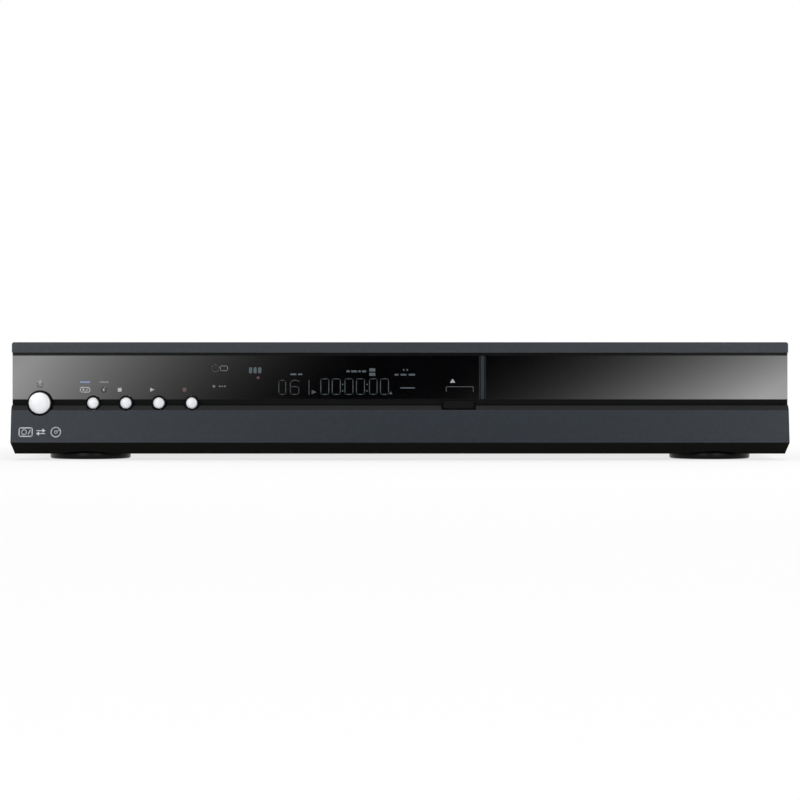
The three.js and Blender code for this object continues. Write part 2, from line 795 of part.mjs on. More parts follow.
// Rear sockets
const jackRowZ = (row) => boardTopZ + jackPitch * (row + 1 / 2);
const jackColumnX = (column) => jackBlockX + (column - (jackColumns - 1) / 2) * jackPitch;
const jacks = [...Array(jackRows).keys()].flatMap((row) =>
  [...Array(jackColumns).keys()].map((column) => [jackColumnX(column), jackRowZ(row)]));
const antennaZ = boardTopZ + tunerHeight / 2;
const antennas = [-1, 1].map((side) => [antennaX + side * antennaPitch / 2, antennaZ]);
const socketShapes = {
  hdmi: { x: hdmiX, width: hdmiWidth, height: hdmiHeight },
  lan: { x: lanX, width: lanWidth, height: lanHeight },
  optical: { x: opticalX, width: opticalWidth, height: opticalWidth },
};
const inletZ0 = boardTopZ;

function rearPanel() {
  const side = coverHalfWidth - sheet;
  const plate = block([-side, side], [innerRearY, rearPlateY], [panTopZ, coverInnerZ]);
  const through = [innerRearY - overrun, rearPlateY + overrun];
  const grille = [];
  const pitch = ventSlotWidth * 2;
  const rows = Math.floor(fanBore / pitch);
  for (let row = -rows; row <= rows; row += 1) {
    const z = fanZ + row * pitch;
    grille.push(block([fanX - fanBore, fanX - ventSlotWidth / 2], through,
      [z - ventSlotWidth / 2, z + ventSlotWidth / 2]));
    grille.push(block([fanX + ventSlotWidth / 2, fanX + fanBore], through,
      [z - ventSlotWidth / 2, z + ventSlotWidth / 2]));
  }
  const round = rod(fanBore - fanTipGap, 'y', through, [fanX, fanZ], roundSteps);
  return cut(
    plate,
    join(grille).intersect(round),
    jacks.map((centre) => rod(jackRadius + fit, 'y', through, centre)),
    antennas.map((centre) => rod(antennaRadius + fit, 'y', through, centre)),
    Object.values(socketShapes).map(({ x, width, height }) => block([x - width / 2 - fit,
      x + width / 2 + fit],
      through, [boardTopZ - fit, boardTopZ + height + fit])),
    block([inletX - inletWidth / 2 - fit, inletX + inletWidth / 2 + fit], through,
      [inletZ0 - fit, inletZ0 + inletHeight + fit]),
  );
}

// Disc drive levels and axes
const driveFloorZ = trayBottomZ - driveDepthBelowTray;
const driveFloorTopZ = driveFloorZ + driveFloorThickness;
const drivePosts = [driveX0 + driveLegInset, driveX1 - driveLegInset].flatMap((x) =>
  [driveFrontY + driveLegInset, driveRearY - driveLegInset].map((y) => [x, y]));
const driveInner = driveHalfWidth - driveWall;
const trayFrontY = behind(trayFrontSetback);
const trayRearY = trayFrontY + trayLength;
const spindleY = trayFrontY + discMargin + discRadius + discGap;
const seatZ = recessZ + seatAboveTray;
const coneTopZ = seatZ + coneHeight;
const clampZ = coneTopZ + fit;
const lidZ = clampZ + clampThickness + clampLidGap;
const rackX0 = driveX - trayHalfWidth + rackInset;
const rackPitchX = rackX0 + rackBack + dedendumShare * rackModule;
const rackZ = trayBottomZ - rackThickness;
const wheelZ = rackZ - gearGap - gearThickness;
const pulleyHeight = beltWidth + fit + fit + pulleyFlangeThickness * 2;
const pulleyZ = wheelZ - gearGap - pulleyHeight;
const pinionPitch = pinionTeeth * rackModule / 2;
const wheelPitch = wheelTeeth * gearModule / 2;
const reductionPitch = reductionTeeth * gearModule / 2;
const pinionX = rackPitchX + pinionPitch;
const pinionY = driveFrontY + driveWall + wheelPitch + gearModule + gearGap;
const reductionX = pinionX + wheelPitch + reductionPitch;
const motorX = reductionX + pulleyDistance;
const postTopZ = trayBottomZ - gearGap - fit;

const involute = (angle) => Math.tan(angle) - angle;

// A spur gear's outline with involute flanks, a tooth centred on the given angle
function gearOutline(teeth, module, [x, y], start) {
  const pitch = teeth * module / 2;
  const base = pitch * Math.cos(pressureAngle);
  const tip = pitch + addendumShare * module;
  const root = pitch - dedendumShare * module;
  const half = (Math.PI * module / 2 - backlash) / (2 * pitch) + involute(pressureAngle);
  const flank = [[root, half - (root > base ? involute(Math.acos(base / root)) : 0)]];
  const foot = Math.max(root, base);
  for (let i = root > base ? 1 : 0; i <= toothSteps; i += 1) {
    const radius = foot + (tip - foot) * i / toothSteps;
    flank.push([radius, half - involute(Math.acos(Math.min(1, base / radius)))]);
  }
  const outline = [];
  for (let tooth = 0; tooth < teeth; tooth += 1) {
    const middle = start + tooth * Math.PI * 2 / teeth;
    const rising = flank.map(([radius, angle]) => [radius, middle - angle]);
    const falling = [...flank].reverse().map(([radius, angle]) => [radius, middle + angle]);
    outline.push(...[...rising, ...falling].map(([radius, angle]) =>
      [x + radius * Math.cos(angle), y + radius * Math.sin(angle)]));
  }
  return outline;
}

function rackOutline() {
  const pitch = Math.PI * rackModule;
  const last = Math.ceil(trayTravel / pitch) + 1;
  const root = rackPitchX - dedendumShare * rackModule;
  const tip = rackPitchX + addendumShare * rackModule;
  const slope = Math.tan(pressureAngle);
  const halfAt = (x) => pitch / 4 - backlash / 2 - (x - rackPitchX) * slope;
  const outline = [];
  for (let tooth = -1; tooth <= last; tooth += 1) {
    const y = pinionY + tooth * pitch;
    outline.push([root, y - halfAt(root)], [tip, y - halfAt(tip)], [tip, y + halfAt(tip)],
      [root, y + halfAt(root)]);
  }
  outline.push([rackX0, outline[outline.length - 1][1]], [rackX0, outline[0][1]]);
  return outline;
}

function discTray() {
  const middleY = (trayFrontY + trayRearY) / 2;
  const plate = moved(prism(roundedOutline(trayHalfWidth, trayLength / 2, trayCornerRadius), 'z',
    [trayBottomZ, trayTopZ]), driveX, middleY, 0);
  const recess = rod(discRadius + discGap, 'z', [recessZ, trayTopZ + overrun], [driveX, spindleY], fineSteps);
  const smallRecess = rod(smallDiscRadius + discGap, 'z', [recessZ - smallDiscDepth, trayTopZ],
    [driveX, spindleY], fineSteps);
  const slot = join(
    rod(slotHalfWidth, 'z', [trayBottomZ - overrun, trayTopZ + overrun], [driveX, spindleY]),
    block([driveX - slotHalfWidth, driveX + slotHalfWidth], [spindleY, trayRearY + overrun],
      [trayBottomZ - overrun, trayTopZ + overrun]),
  );
  const underZ = [trayBottomZ - overrun, trayTopZ - traySkin];
  const under = cut(
    block([driveX - trayHalfWidth + rackInset + rackBack + traySkin, driveX + trayHalfWidth - traySkin],
      [trayFrontY + traySkin, trayRearY - traySkin], underZ),
    rod(discRadius + discGap + traySkin, 'z', [underZ[0] - overrun, underZ[1] + overrun],
      [driveX, spindleY], fineSteps),
    block([driveX - slotHalfWidth - traySkin, driveX + slotHalfWidth + traySkin],
      [spindleY, trayRearY + overrun], underZ),
  );
  return join(cut(plate, recess, smallRecess, slot, under),
    prism(rackOutline(), 'z', [rackZ, trayBottomZ + traySkin]).intersect(
      block([rackX0, driveX], [trayFrontY, trayRearY], [rackZ, trayBottomZ + traySkin])));
}

const liftY = spindleY + liftArm;
const traverseTopZ = trayBottomZ - traverseDrop;
const traverseZ = traverseTopZ - traverseThickness;
const pinZ = (traverseZ + traverseTopZ) / 2;
const traverseFrontY = spindleY - traverseFront;
const camY1 = traverseFrontY - camPinGap;
const camY0 = camY1 - camThickness;
const bearingX0 = traverseHalfWidth + pinReach - bearingWidth + gearGap;
const camDrop = (liftArm + traverseFront) * Math.sin(liftAngle);

function driveFrame() {
  const span = [driveX0, driveX1];
  const deep = [driveFrontY, driveRearY];
  const floor = cut(block(span, deep, [driveFloorZ, driveFloorTopZ]),
    block([driveX - bearingX0 + gearGap, driveX + bearingX0 - gearGap],
      [camY1 + gearGap, liftY + traverseRear], [driveFloorZ - overrun, driveFloorTopZ + overrun]));
  const sides = [-1, 1].flatMap((side) => {
    const at = (near, far) => [driveX + side * near, driveX + side * far].sort((a, b) => a - b);
    const railX = at(trayHalfWidth - driveRailOverlap, driveHalfWidth);
    const railTopZ = trayBottomZ - fit;
    const guides = [driveFrontY, (driveFrontY + driveRearY) / 2].map((y) => block(railX, [y, y + guideLength],
      [trayTopZ + fit, trayTopZ + fit + guideHeight]));
    const bearingX = at(bearingX0, bearingX0 + bearingWidth);
    const bearingTopZ = pinZ + pinRadius + bearingWall;
    const bearing = cut(block(bearingX, [liftY - pinRadius - bearingWall, liftY + pinRadius + bearingWall],
      [driveFloorZ, bearingTopZ]),
    rod(pinRadius + boreGap, 'x', [bearingX[0] - overrun, bearingX[1] + overrun], [liftY, pinZ], smallSteps));
    return [
      block(at(driveInner, driveHalfWidth), deep, [driveFloorZ, lidZ]),
      block(railX, deep, [railTopZ - driveRailHeight, railTopZ]),
      ...guides,
      bearing,
    ];
  });
  const frontWall = block(span, [driveFrontY, driveFrontY + driveWall], [driveFloorZ, rackZ - gearGap]);
  const rearWall = block(span, [driveRearY - driveWall, driveRearY], [driveFloorZ, lidZ]);
  const posts = [[pinionX, wheelZ], [reductionX, pulleyZ]].flatMap(([x, seat]) => [
    rod(postBossRadius, 'z', [driveFloorZ, seat - fit], [x, pinionY], smallSteps),
    rod(postRadius, 'z', [driveFloorZ, x === pinionX ? postTopZ : wheelZ + gearThickness], [x, pinionY],
      smallSteps),
  ]);
  const guides = [-1, 1].map((side) => {
    const x = driveX + side * camPinSpacing / 2;
    return block([x - camGuideWidth / 2, x + camGuideWidth / 2], [camY0 - fit - driveWall, camY0 - fit],
      [driveFloorZ, driveFloorTopZ + camGuideHeight]);
  });
  return join(floor, sides, frontWall, rearWall, posts, guides);
}

function driveLid() {
  const plate = block([driveX0 - fit - sheet, driveX1 + fit + sheet],
    [driveFrontY + driveLegInset, driveRearY],
    [lidZ, lidZ + sheet]);
  const flanges = [[driveX0 - fit - sheet, driveX0 - fit], [driveX1 + fit, driveX1 + fit + sheet]].map((x) =>
    block(x, [driveFrontY + driveLegInset, driveRearY], [lidZ - coverLip, lidZ + sheet]));
  return cut(join(plate, flanges), rod(clampNeckRadius + fit * 2, 'z', [lidZ - overrun, lidZ + overrun],
    [driveX, spindleY], fineSteps));
}

function trayPinion() {
  const centre = [pinionX, pinionY];
  const hub = rod(pinionPitch - dedendumShare * rackModule, 'z', [wheelZ, rackZ + gearThickness - fit],
    centre, smallSteps);
  return cut(join(
    prism(gearOutline(wheelTeeth, gearModule, centre, 0), 'z', [wheelZ, wheelZ + gearThickness]),
    hub,
    prism(gearOutline(pinionTeeth, rackModule, centre, Math.PI + Math.PI / pinionTeeth), 'z',
      [rackZ, rackZ + gearThickness - fit]),
  ), rod(postRadius + boreGap, 'z', [wheelZ - overrun, trayBottomZ], centre, smallSteps));
}

// A pulley with a belt groove between two flanges
function pulley(radius, [x, y], z) {
  const rim = radius + pulleyFlange;
  const grooveZ0 = pulleyFlangeThickness;
  const grooveZ1 = pulleyHeight - pulleyFlangeThickness;
  return turned([[0, 0], [rim, 0], [rim, grooveZ0], [radius, grooveZ0], [radius, grooveZ1], [rim, grooveZ1],
    [rim, pulleyHeight], [0, pulleyHeight]], 'z', [x, y, z]);
}

function reductionGear() {
  const centre = [reductionX, pinionY];
  return cut(join(
    pulley(pulleyRadius, centre, pulleyZ),
    rod(reductionPitch - dedendumShare * gearModule, 'z', [pulleyZ, wheelZ + gearThickness], centre,
      smallSteps),
    prism(gearOutline(reductionTeeth, gearModule, centre, Math.PI + Math.PI / reductionTeeth), 'z',
      [wheelZ, wheelZ + gearThickness]),
  ), rod(postRadius + boreGap, 'z', [pulleyZ - overrun, trayBottomZ], centre, smallSteps));
}

const motorTopZ = pulleyZ - gearGap - motorBossHeight;
function motorPulley() {
  const centre = [motorX, pinionY];
  return join(pulley(motorPulleyRadius, centre, pulleyZ),
    rod(motorShaftRadius, 'z', [motorTopZ, pulleyZ + pulleyHeight + gearGap], centre, smallSteps));
}
function loadingMotor() {
  const centre = [motorX, pinionY];
  const depth = motorBossHeight + motorShaftRadius;
  return cut(join(
    rod(motorRadius, 'z', [driveFloorTopZ, motorTopZ], centre),
    rod(motorBossRadius, 'z', [motorTopZ - sheet, motorTopZ + motorBossHeight], centre, smallSteps),
  ), rod(motorShaftRadius + boreGap, 'z', [motorTopZ - depth, motorTopZ + overrun], centre, smallSteps));
}

function beltLoop(wide, narrow) {
  const lean = Math.asin((wide - narrow) / pulleyDistance);
  const shape = new THREE.Shape();
  const open = Math.PI / 2 - lean;
  shape.absarc(reductionX, pinionY, wide, open, Math.PI * 2 - open);
  shape.absarc(motorX, pinionY, narrow, -open, open);
  return shape;
}
function loadingBelt() {
  const z = pulleyZ + pulleyFlangeThickness + fit;
  const inside = beltLoop(pulleyRadius + fit, motorPulleyRadius + fit);
  const outside = beltLoop(pulleyRadius + fit + beltThickness, motorPulleyRadius + fit + beltThickness);
  return cut(
    prism(outside, 'z', [z, z + beltWidth], smallSteps),
    prism(inside, 'z', [z - overrun, z + beltWidth + overrun], smallSteps),
  );
}

function camSlider() {
  const reach = camPinSpacing / 2 + camPinRadius + camSlotGap + camMargin;
  const plate = block([driveX - reach - camTravel, driveX + reach], [camY0, camY1],
    [driveFloorTopZ + fit, pinZ + camPinRadius + camSlotGap + camMargin]);
  const slotRadius = camPinRadius + camSlotGap;
  const slots = [-1, 1].map((side) => {
    const x = driveX + side * camPinSpacing / 2;
    const tilt = Math.atan2(camDrop, camTravel);
    const away = [Math.sin(tilt) * slotRadius, Math.cos(tilt) * slotRadius];
    const low = [x - camTravel, pinZ - camDrop];
    const bar = prism([
      [x - away[0], pinZ + away[1]],
      [low[0] - away[0], low[1] + away[1]],
      [low[0] + away[0], low[1] - away[1]],
      [x + away[0], pinZ - away[1]],
    ], 'y', [camY0 - overrun, camY1 + overrun]);
    return join(bar, rod(slotRadius, 'y', [camY0 - overrun, camY1 + overrun], [x, pinZ], smallSteps),
      rod(slotRadius, 'y', [camY0 - overrun, camY1 + overrun], low, smallSteps));
  });
  return cut(plate, slots);
}

// Traverse: the plate that carries the motor, rods, pickup and screw, hinged at the rear on two pins
const screwX = driveX + traverseWindow + rodHolder + screwRadius + fit;
const screwZ = traverseTopZ + screwRadius + fit;
const rodZ = traverseTopZ + rodRadius + fit * 2;
const windowY0 = spindleY + spindleMotorRadius + fit;
const pickupY0 = spindleY + pickupStart - pickupLength / 2;
const windowY1 = pickupY0 + pickupLength + pickupTravel + fit * 2;
const rodEndsY = [windowY0 - rodHolder, windowY1 + rodHolder];
const sledMotorY = windowY1 + rodHolder + fit;

function traverseFrame() {
  const plate = block([driveX - traverseHalfWidth, driveX + traverseHalfWidth],
    [traverseFrontY, liftY + traverseRear], [traverseZ, traverseTopZ]);
  const holders = [-1, 1].flatMap((side) => [windowY0 - rodHolder * 2, windowY1].map((y) => {
    const x = driveX + side * rodSpacing;
    return cut(block([x - rodHolder, x + rodHolder], [y, y + rodHolder * 2],
      [traverseZ, rodZ + rodRadius + sheet]),
      rod(rodRadius + fit, 'y', [y + (y < windowY0 ? rodHolder : -overrun),
        y + (y < windowY0 ? overrun * 2 : rodHolder)],
        [x, rodZ], smallSteps));
  }));
  const screwHolder = cut(
    block([screwX - rodHolder, screwX + rodHolder], [windowY0 - rodHolder, windowY0],
      [traverseZ, screwZ + rodHolder]),
    rod(screwRadius + fit, 'y', [windowY0 - rodHolder / 2, windowY0 + overrun], [screwX, screwZ],
      smallSteps));
  const pins = [-1, 1].map((side) => {
    const ends = [driveX + side * (traverseHalfWidth - pinReach),
      driveX + side * (traverseHalfWidth + pinReach)];
    return rod(pinRadius, 'x', ends.sort((a, b) => a - b), [liftY, pinZ], smallSteps);
  });
  const camPins = [-1, 1].map((side) => rod(camPinRadius, 'y', [camY0 - fit, traverseFrontY + sheet],
    [driveX + side * camPinSpacing / 2, pinZ], smallSteps));
  const motorSeat = rod(turntableNeck, 'z', [traverseZ - overrun, traverseTopZ + overrun],
    [driveX, spindleY]);
  const window = block([driveX - traverseWindow, driveX + traverseWindow], [windowY0, windowY1],
    [traverseZ - overrun, traverseTopZ + overrun]);
  const motorSpace = block([screwX - sledMotorRadius - fit, screwX + sledMotorRadius + fit],
    [sledMotorY, sledMotorY + sledMotorLength + fit], [traverseZ - overrun, traverseTopZ + overrun]);
  return cut(join(cut(plate, motorSeat, window, motorSpace), holders, screwHolder, pins, camPins),
    rod(turntableNeck, 'z', [traverseZ - overrun, rodZ + overrun], [driveX, spindleY]));
}

function spindleMotor() {
  return cut(
    rod(spindleMotorRadius, 'z', [traverseZ - spindleMotorHeight, traverseZ], [driveX, spindleY]),
    rod(spindleRadius + boreGap, 'z', [traverseZ - spindleMotorHeight + sheet, traverseZ + overrun],
      [driveX, spindleY], smallSteps),
  );
}

function turntable() {
  const neckZ = traverseTopZ + fit * 2;
  const profile = [
    [0, traverseZ - spindleMotorHeight + sheet + fit],
    [spindleRadius, traverseZ - spindleMotorHeight + sheet + fit],
    [spindleRadius, neckZ],
    [turntableNeck - fit, neckZ],
    [turntableNeck, seatZ - turntableThickness],
    [turntableRadius, seatZ - turntableThickness],
    [turntableRadius, seatZ],
    [coneRadius, seatZ],
    [coneRadius, seatZ + coneHeight / 3],
    [coneTopRadius, coneTopZ],
    [0, coneTopZ],
  ];
  return turned(profile, 'z', [driveX, spindleY, 0]);
}

function discClamp() {
  const plateTopZ = clampZ + clampThickness;
  const flangeZ = lidZ + sheet + fit;
  const profile = [
    [0, clampZ],
    [clampRadius, clampZ],
    [clampRadius, plateTopZ],
    [clampNeckRadius, plateTopZ],
    [clampNeckRadius, flangeZ],
    [clampRadius, flangeZ],
    [clampRadius - sheet / 2, flangeZ + sheet + sheet / 2],
    [0, flangeZ + sheet + sheet / 2],
  ];
  return turned(profile, 'z', [driveX, spindleY, 0]);
}

function pickup() {
  const sleeve = rodSpacing + rodHolder + fit;
  const bodyTopZ = traverseTopZ + pickupHeight / 2 + sheet;
  const span = [pickupY0, pickupY0 + pickupLength];
  const body = join(
    block([driveX - sleeve, driveX + sleeve], span, [traverseTopZ - sheet, bodyTopZ]),
    block([driveX - pickupHalfWidth, driveX + pickupHalfWidth], span, [bodyTopZ - pickupHeight, bodyTopZ]),
    block([driveX + pickupHalfWidth, screwX - screwRadius - fit],
      [pickupY0 + pickupLength / 3, pickupY0 + pickupLength * 2 / 3], [screwZ - sheet, screwZ + sheet]),
  );
  const lens = turned([
    [0, -sheet],
    [lensRadius + sheet, -sheet],
    [lensRadius + sheet, lensHeight / 2],
    [lensRadius, lensHeight / 2],
    [lensRadius * lensRimShare, lensHeight * lensCrownShare],
    [0, lensHeight],
  ], 'z', [driveX, pickupY0 + pickupLength / 2, bodyTopZ], smallSteps);
  return cut(join(body, lens), [-1, 1].map((side) => rod(rodRadius + fit, 'y',
    [pickupY0 - overrun, pickupY0 + pickupLength + overrun], [driveX + side * rodSpacing, rodZ],
      smallSteps)));
}

const guideRod = (side) => rod(rodRadius, 'y', rodEndsY, [driveX + side * rodSpacing, rodZ], smallSteps);
const leadScrew = () => rod(screwRadius, 'y', [windowY0 - rodHolder / 2 + fit, sledMotorY - fit],
  [screwX, screwZ], smallSteps);
const sledMotor = () => rod(sledMotorRadius, 'y', [sledMotorY, sledMotorY + sledMotorLength],
  [screwX, screwZ]);

// Hard disk on its bracket
const diskY1 = mainBoardY0 - diskRearSpace;
const diskY0 = diskY1 - diskLength;
const diskZ = panTopZ + diskRise;
function hardDisk() {
  const base = block([diskX0, diskX1], [diskY0, diskY1], [diskZ, diskZ + diskHeight - diskTrim]);
  const lid = moved(prism(roundedOutline(diskWidth / 2 - diskTrim, diskLength / 2 - diskTrim,
    bracketFlange), 'z',
    [diskZ + diskHeight - diskTrim - overrun, diskZ + diskHeight]), (diskX0 + diskX1) / 2,
      (diskY0 + diskY1) / 2, 0);
  return join(base, lid);
}
function diskBracket() {
  const span = [diskY0 + bracketFoot, diskY1 - bracketFoot];
  const x0 = diskX0 - fit;
  const x1 = diskX1 + fit;
  return join(
    block([x0 - sheet, x1 + sheet], span, [diskZ - sheet, diskZ]),
    block([x0 - sheet, x0], span, [panTopZ, diskZ + bracketFlange]),
    block([x1, x1 + sheet], span, [panTopZ, diskZ + bracketFlange]),
    block([x0 - bracketFoot, x0], span, [panTopZ, panTopZ + sheet]),
    block([x1, x1 + bracketFoot], span, [panTopZ, panTopZ + sheet]),
  );
}

// Power supply
const onPowerBoard = (xShare, yShare) => [
  powerBoardX0 + powerBoardWidth * xShare,
  powerBoardY0 + powerBoardLength * yShare,
];
const powerBoard = () => block([powerBoardX0, powerBoardX1], [powerBoardY0, powerBoardY1],
  [boardZ, boardTopZ]);
function transformer() {
  const [x, y] = onPowerBoard(...transformerShares);
  const topCoreZ = boardTopZ + transformerHeight;
  const core = cut(
    block([x - transformerWidth / 2, x + transformerWidth / 2], [y - transformerYoke, y + transformerYoke],
      [boardTopZ, topCoreZ]),
    block([x - transformerWidth / 2 + transformerYoke, x + transformerWidth / 2 - transformerYoke],
      [y - transformerYoke - overrun, y + transformerYoke + overrun],
      [boardTopZ + transformerYoke, topCoreZ - transformerYoke]),
  );
  const winding = moved(prism(roundedOutline(transformerWidth / 2 - transformerYoke + sheet,
    transformerDepth / 2,
    transformerYoke), 'z', [boardTopZ + transformerYoke - sheet, topCoreZ - transformerYoke + sheet]), x,
      y, 0);
  return join(core, winding);
}
function bulkCapacitor() {
  const crimp = capacitorRadius - sheet;
  const grooveZ = boardTopZ + capacitorBeadHeight;
  return turned([
    [0, boardTopZ],
    [crimp, boardTopZ],
    [capacitorRadius, boardTopZ + sheet],
    [capacitorRadius, grooveZ],
    [crimp, grooveZ + sheet],
    [capacitorRadius, grooveZ + sheet * 2],
    [capacitorRadius, boardTopZ + capacitorHeight - sheet],
    [crimp, boardTopZ + capacitorHeight],
    [0, boardTopZ + capacitorHeight],
  ], 'z', [...onPowerBoard(...capacitorShares), 0]);
}

// A comb of fins standing on a base, with its middle at zero and its base at zero
function comb(length, baseThickness, height, finThickness, fins) {
  const outline = [[-length / 2, 0], [length / 2, 0]];
  const pitch = (length - finThickness) / (fins - 1);
  for (let i = fins - 1; i >= 0; i -= 1) {
    const x = -length / 2 + i * pitch;
    outline.push([x + finThickness, height], [x, height]);
    if (i > 0) outline.push([x, baseThickness], [x - pitch + finThickness, baseThickness]);
  }
  return outline;
}
function powerHeatSink() {
  const [x, y] = onPowerBoard(...sinkShares);
  return moved(prism(comb(powerBoardWidth * sinkLengthShare, sinkFin * 2, sinkDepth, sinkFin, sinkFins), 'z',
    [boardTopZ, boardTopZ + sinkHeight]), x, y, 0);
}

// Main board with its processor, memory and cable sockets
const mainSinkSize = mainBoardLength * mainSinkShare;
const processorX = mainBoardX0 + mainBoardWidth * processorShares[0];
const processorY = mainBoardY0 + mainBoardLength * processorShares[1];
const cableSocketY = mainBoardY0 + boardInset * 2;
const cableXs = { disk_cable: (diskX0 + diskX1) / 2 + cableWidth / 4, drive_cable: driveX };
function mainBoard() {
  const board = block([mainBoardX0, mainBoardX1], [mainBoardY0, mainBoardY1], [boardZ, boardTopZ]);
  const half = mainSinkSize / 2;
  const processor = block([processorX - half, processorX + half], [processorY - half, processorY + half],
    [boardTopZ - sheet, boardTopZ + processorHeight]);
  const memory = [-1, 1].map((side) => {
    const x = processorX + side * (half + memoryWidth);
    return block([x - memoryWidth / 2, x + memoryWidth / 2],
      [processorY - memoryWidth, processorY + memoryWidth],
      [boardTopZ - sheet, boardTopZ + memoryHeight]);
  });
  const sockets = Object.values(cableXs).map((x) => block([x - cableWidth / 2, x + cableWidth / 2],
    [cableSocketY, cableSocketY + cableSocketWidth], [boardTopZ - sheet, boardTopZ + cableSocketHeight]));
  return join(board, processor, memory, sockets);
}
function mainHeatSink() {
  const z = boardTopZ + processorHeight;
  const sink = prism(comb(mainSinkSize, sinkFin, mainSinkHeight, sinkFin / 2, mainSinkFins), 'y',
    [processorY - mainSinkSize / 2, processorY + mainSinkSize / 2]);
  return moved(sink, processorX, 0, z);
}
function tunerModule() {
  return block([antennaX - tunerWidth / 2, antennaX + tunerWidth / 2],
    [innerRearY - mainBoardLength * tunerLengthShare, innerRearY],
    [boardTopZ, boardTopZ + tunerHeight]);
}

// A flat cable from a rear wall down to its socket on the main board
function flatCable(x, startY, startZ) {
  const endZ = boardTopZ + cableSocketHeight / 2;
  const bend = (startY + cableSocketY) / 2;
  const outline = [
    [startY + fit, startZ],
    [bend, startZ],
    [cableSocketY - cableDrop / 2, endZ],
    [cableSocketY - fit, endZ],
    [cableSocketY - fit, endZ + cableThickness],
    [cableSocketY - cableDrop / 2 + cableThickness / 2, endZ + cableThickness],
    [bend + cableThickness / 2, startZ + cableThickness],
    [startY + fit, startZ + cableThickness],
  ];
  return prism(outline, 'x', [x - cableWidth / 2, x + cableWidth / 2]);
}

// Fan behind the rear panel's grille
function fanFrame() {
  const half = fanSize / 2;
  const y0 = innerRearY - fanDepth;
  const square = moved(block([-half, half], [y0, innerRearY], [-half, half]), fanX, 0, fanZ);
  const bore = rod(fanBore, 'y', [y0 - overrun, innerRearY + overrun], [fanX, fanZ], fineSteps);
  const hub = rod(fanHubRadius, 'y', [y0, y0 + fanHubGap], [fanX, fanZ]);
  const struts = [
    block([fanX - half, fanX + half], [y0, y0 + fanHubGap],
      [fanZ - fanStrutWidth / 2, fanZ + fanStrutWidth / 2]),
    block([fanX - fanStrutWidth / 2, fanX + fanStrutWidth / 2], [y0, y0 + fanHubGap],
      [fanZ - half, fanZ + half]),
  ];
  const screws = [-1, 1].flatMap((u) => [-1, 1].map((v) => rod(fanScrewRadius, 'y',
    [y0 - overrun, innerRearY + overrun],
    [fanX + u * (half - fanScrewInset), fanZ + v * (half - fanScrewInset)], smallSteps)));
  return join(cut(square, bore, screws), hub, struts);
}
function fanRotor() {
  const y0 = innerRearY - fanDepth + fanHubGap + fit;
  const y1 = innerRearY - fanTipGap;
  const hub = rod(fanHubRadius, 'y', [y0, y1], [0, 0]);
  const chord = (y1 - y0 - fit) / Math.cos(fanPitch);
  const blades = [...Array(fanBlades).keys()].map((i) => {
    const blade = block([fanHubRadius - fanTipGap, fanBore - fanTipGap], [-chord / 2, chord / 2],
      [-fanBladeThickness / 2, fanBladeThickness / 2]);
    const trimmed = blade.rotate([THREE.MathUtils.radToDeg(fanPitch), 0, 0]).intersect(
      block([0, fanBore], [-(y1 - y0) / 2, (y1 - y0) / 2], [-fanBore, fanBore]));
    return moved(trimmed, 0, (y0 + y1) / 2, 0).rotate([0, i * 360 / fanBlades, 0]);
  });
  const round = rod(fanBore - fanTipGap, 'y', [y0, y1], [0, 0], fineSteps);
  return moved(join(hub, blades).intersect(round), fanX, 0, fanZ);
}

// Sockets on the rear
function antennaTerminals() {
  const spanX = [antennas[0][0] - antennaBaseRadius, antennas[1][0] + antennaBaseRadius];
  const plate = block(spanX, [rearPlateY, rearPlateY + antennaBase],
    [antennaZ - antennaBaseRadius, antennaZ + antennaBaseRadius]);
  const barrels = antennas.map((centre) => rod(antennaRadius, 'y', [innerRearY, rearY], centre));
  return cut(join(plate, barrels), antennas.map((centre) =>
    rod(antennaBore, 'y', [rearPlateY + antennaBase, rearY + overrun], centre, smallSteps)));
}
function jackBlock() {
  const halfX = jackColumns * jackPitch / 2;
  const housing = block([jackBlockX - halfX, jackBlockX + halfX], [innerRearY - jackBlockDepth, innerRearY],
    [boardTopZ, boardTopZ + jackRows * jackPitch]);
  const endY = rearPlateY + jackReach * jackReachShare;
  return cut(join(housing, jacks.map((centre) => rod(jackRadius, 'y', [innerRearY - sheet, endY], centre))),
    jacks.map((centre) => rod(jackBoreRadius, 'y', [innerRearY, endY + overrun], centre, smallSteps)));
}
function socket({ x, width, height }, cavity) {
  const y1 = rearPlateY + fit;
  return cut(block([x - width / 2, x + width / 2], [y1 - socketDepth, y1],
    [boardTopZ, boardTopZ + height]), cavity(y1));
}
const hdmiSocket = () => socket(socketShapes.hdmi, (y1) => cut(
  block([hdmiX - hdmiWidth / 2 + socketWall, hdmiX + hdmiWidth / 2 - socketWall],
    [y1 - socketDepth / 2, y1 + overrun], [boardTopZ + socketWall, boardTopZ + hdmiHeight - socketWall]),
  block([hdmiX - hdmiWidth / 3, hdmiX + hdmiWidth / 3], [y1 - socketDepth / 2 - overrun, y1 - socketWall],
    [boardTopZ + hdmiHeight / 2 - socketWall / 2, boardTopZ + hdmiHeight / 2 + socketWall / 2])));
const lanCavityZ = boardTopZ + (lanHeight - lanCavityHeight) / 2;
const lanSocket = () => socket(socketShapes.lan, (y1) => block(
  [lanX - lanCavityWidth / 2, lanX + lanCavityWidth / 2], [y1 - socketDepth + socketWall * 2, y1 + overrun],
  [lanCavityZ, lanCavityZ + lanCavityHeight]));
const opticalOutput = () => socket(socketShapes.optical, (y1) => block(
  [opticalX - opticalWidth / 4, opticalX + opticalWidth / 4], [y1 - socketDepth / 3, y1 + overrun],
  [boardTopZ + opticalWidth / 4, boardTopZ + opticalWidth * 3 / 4]));

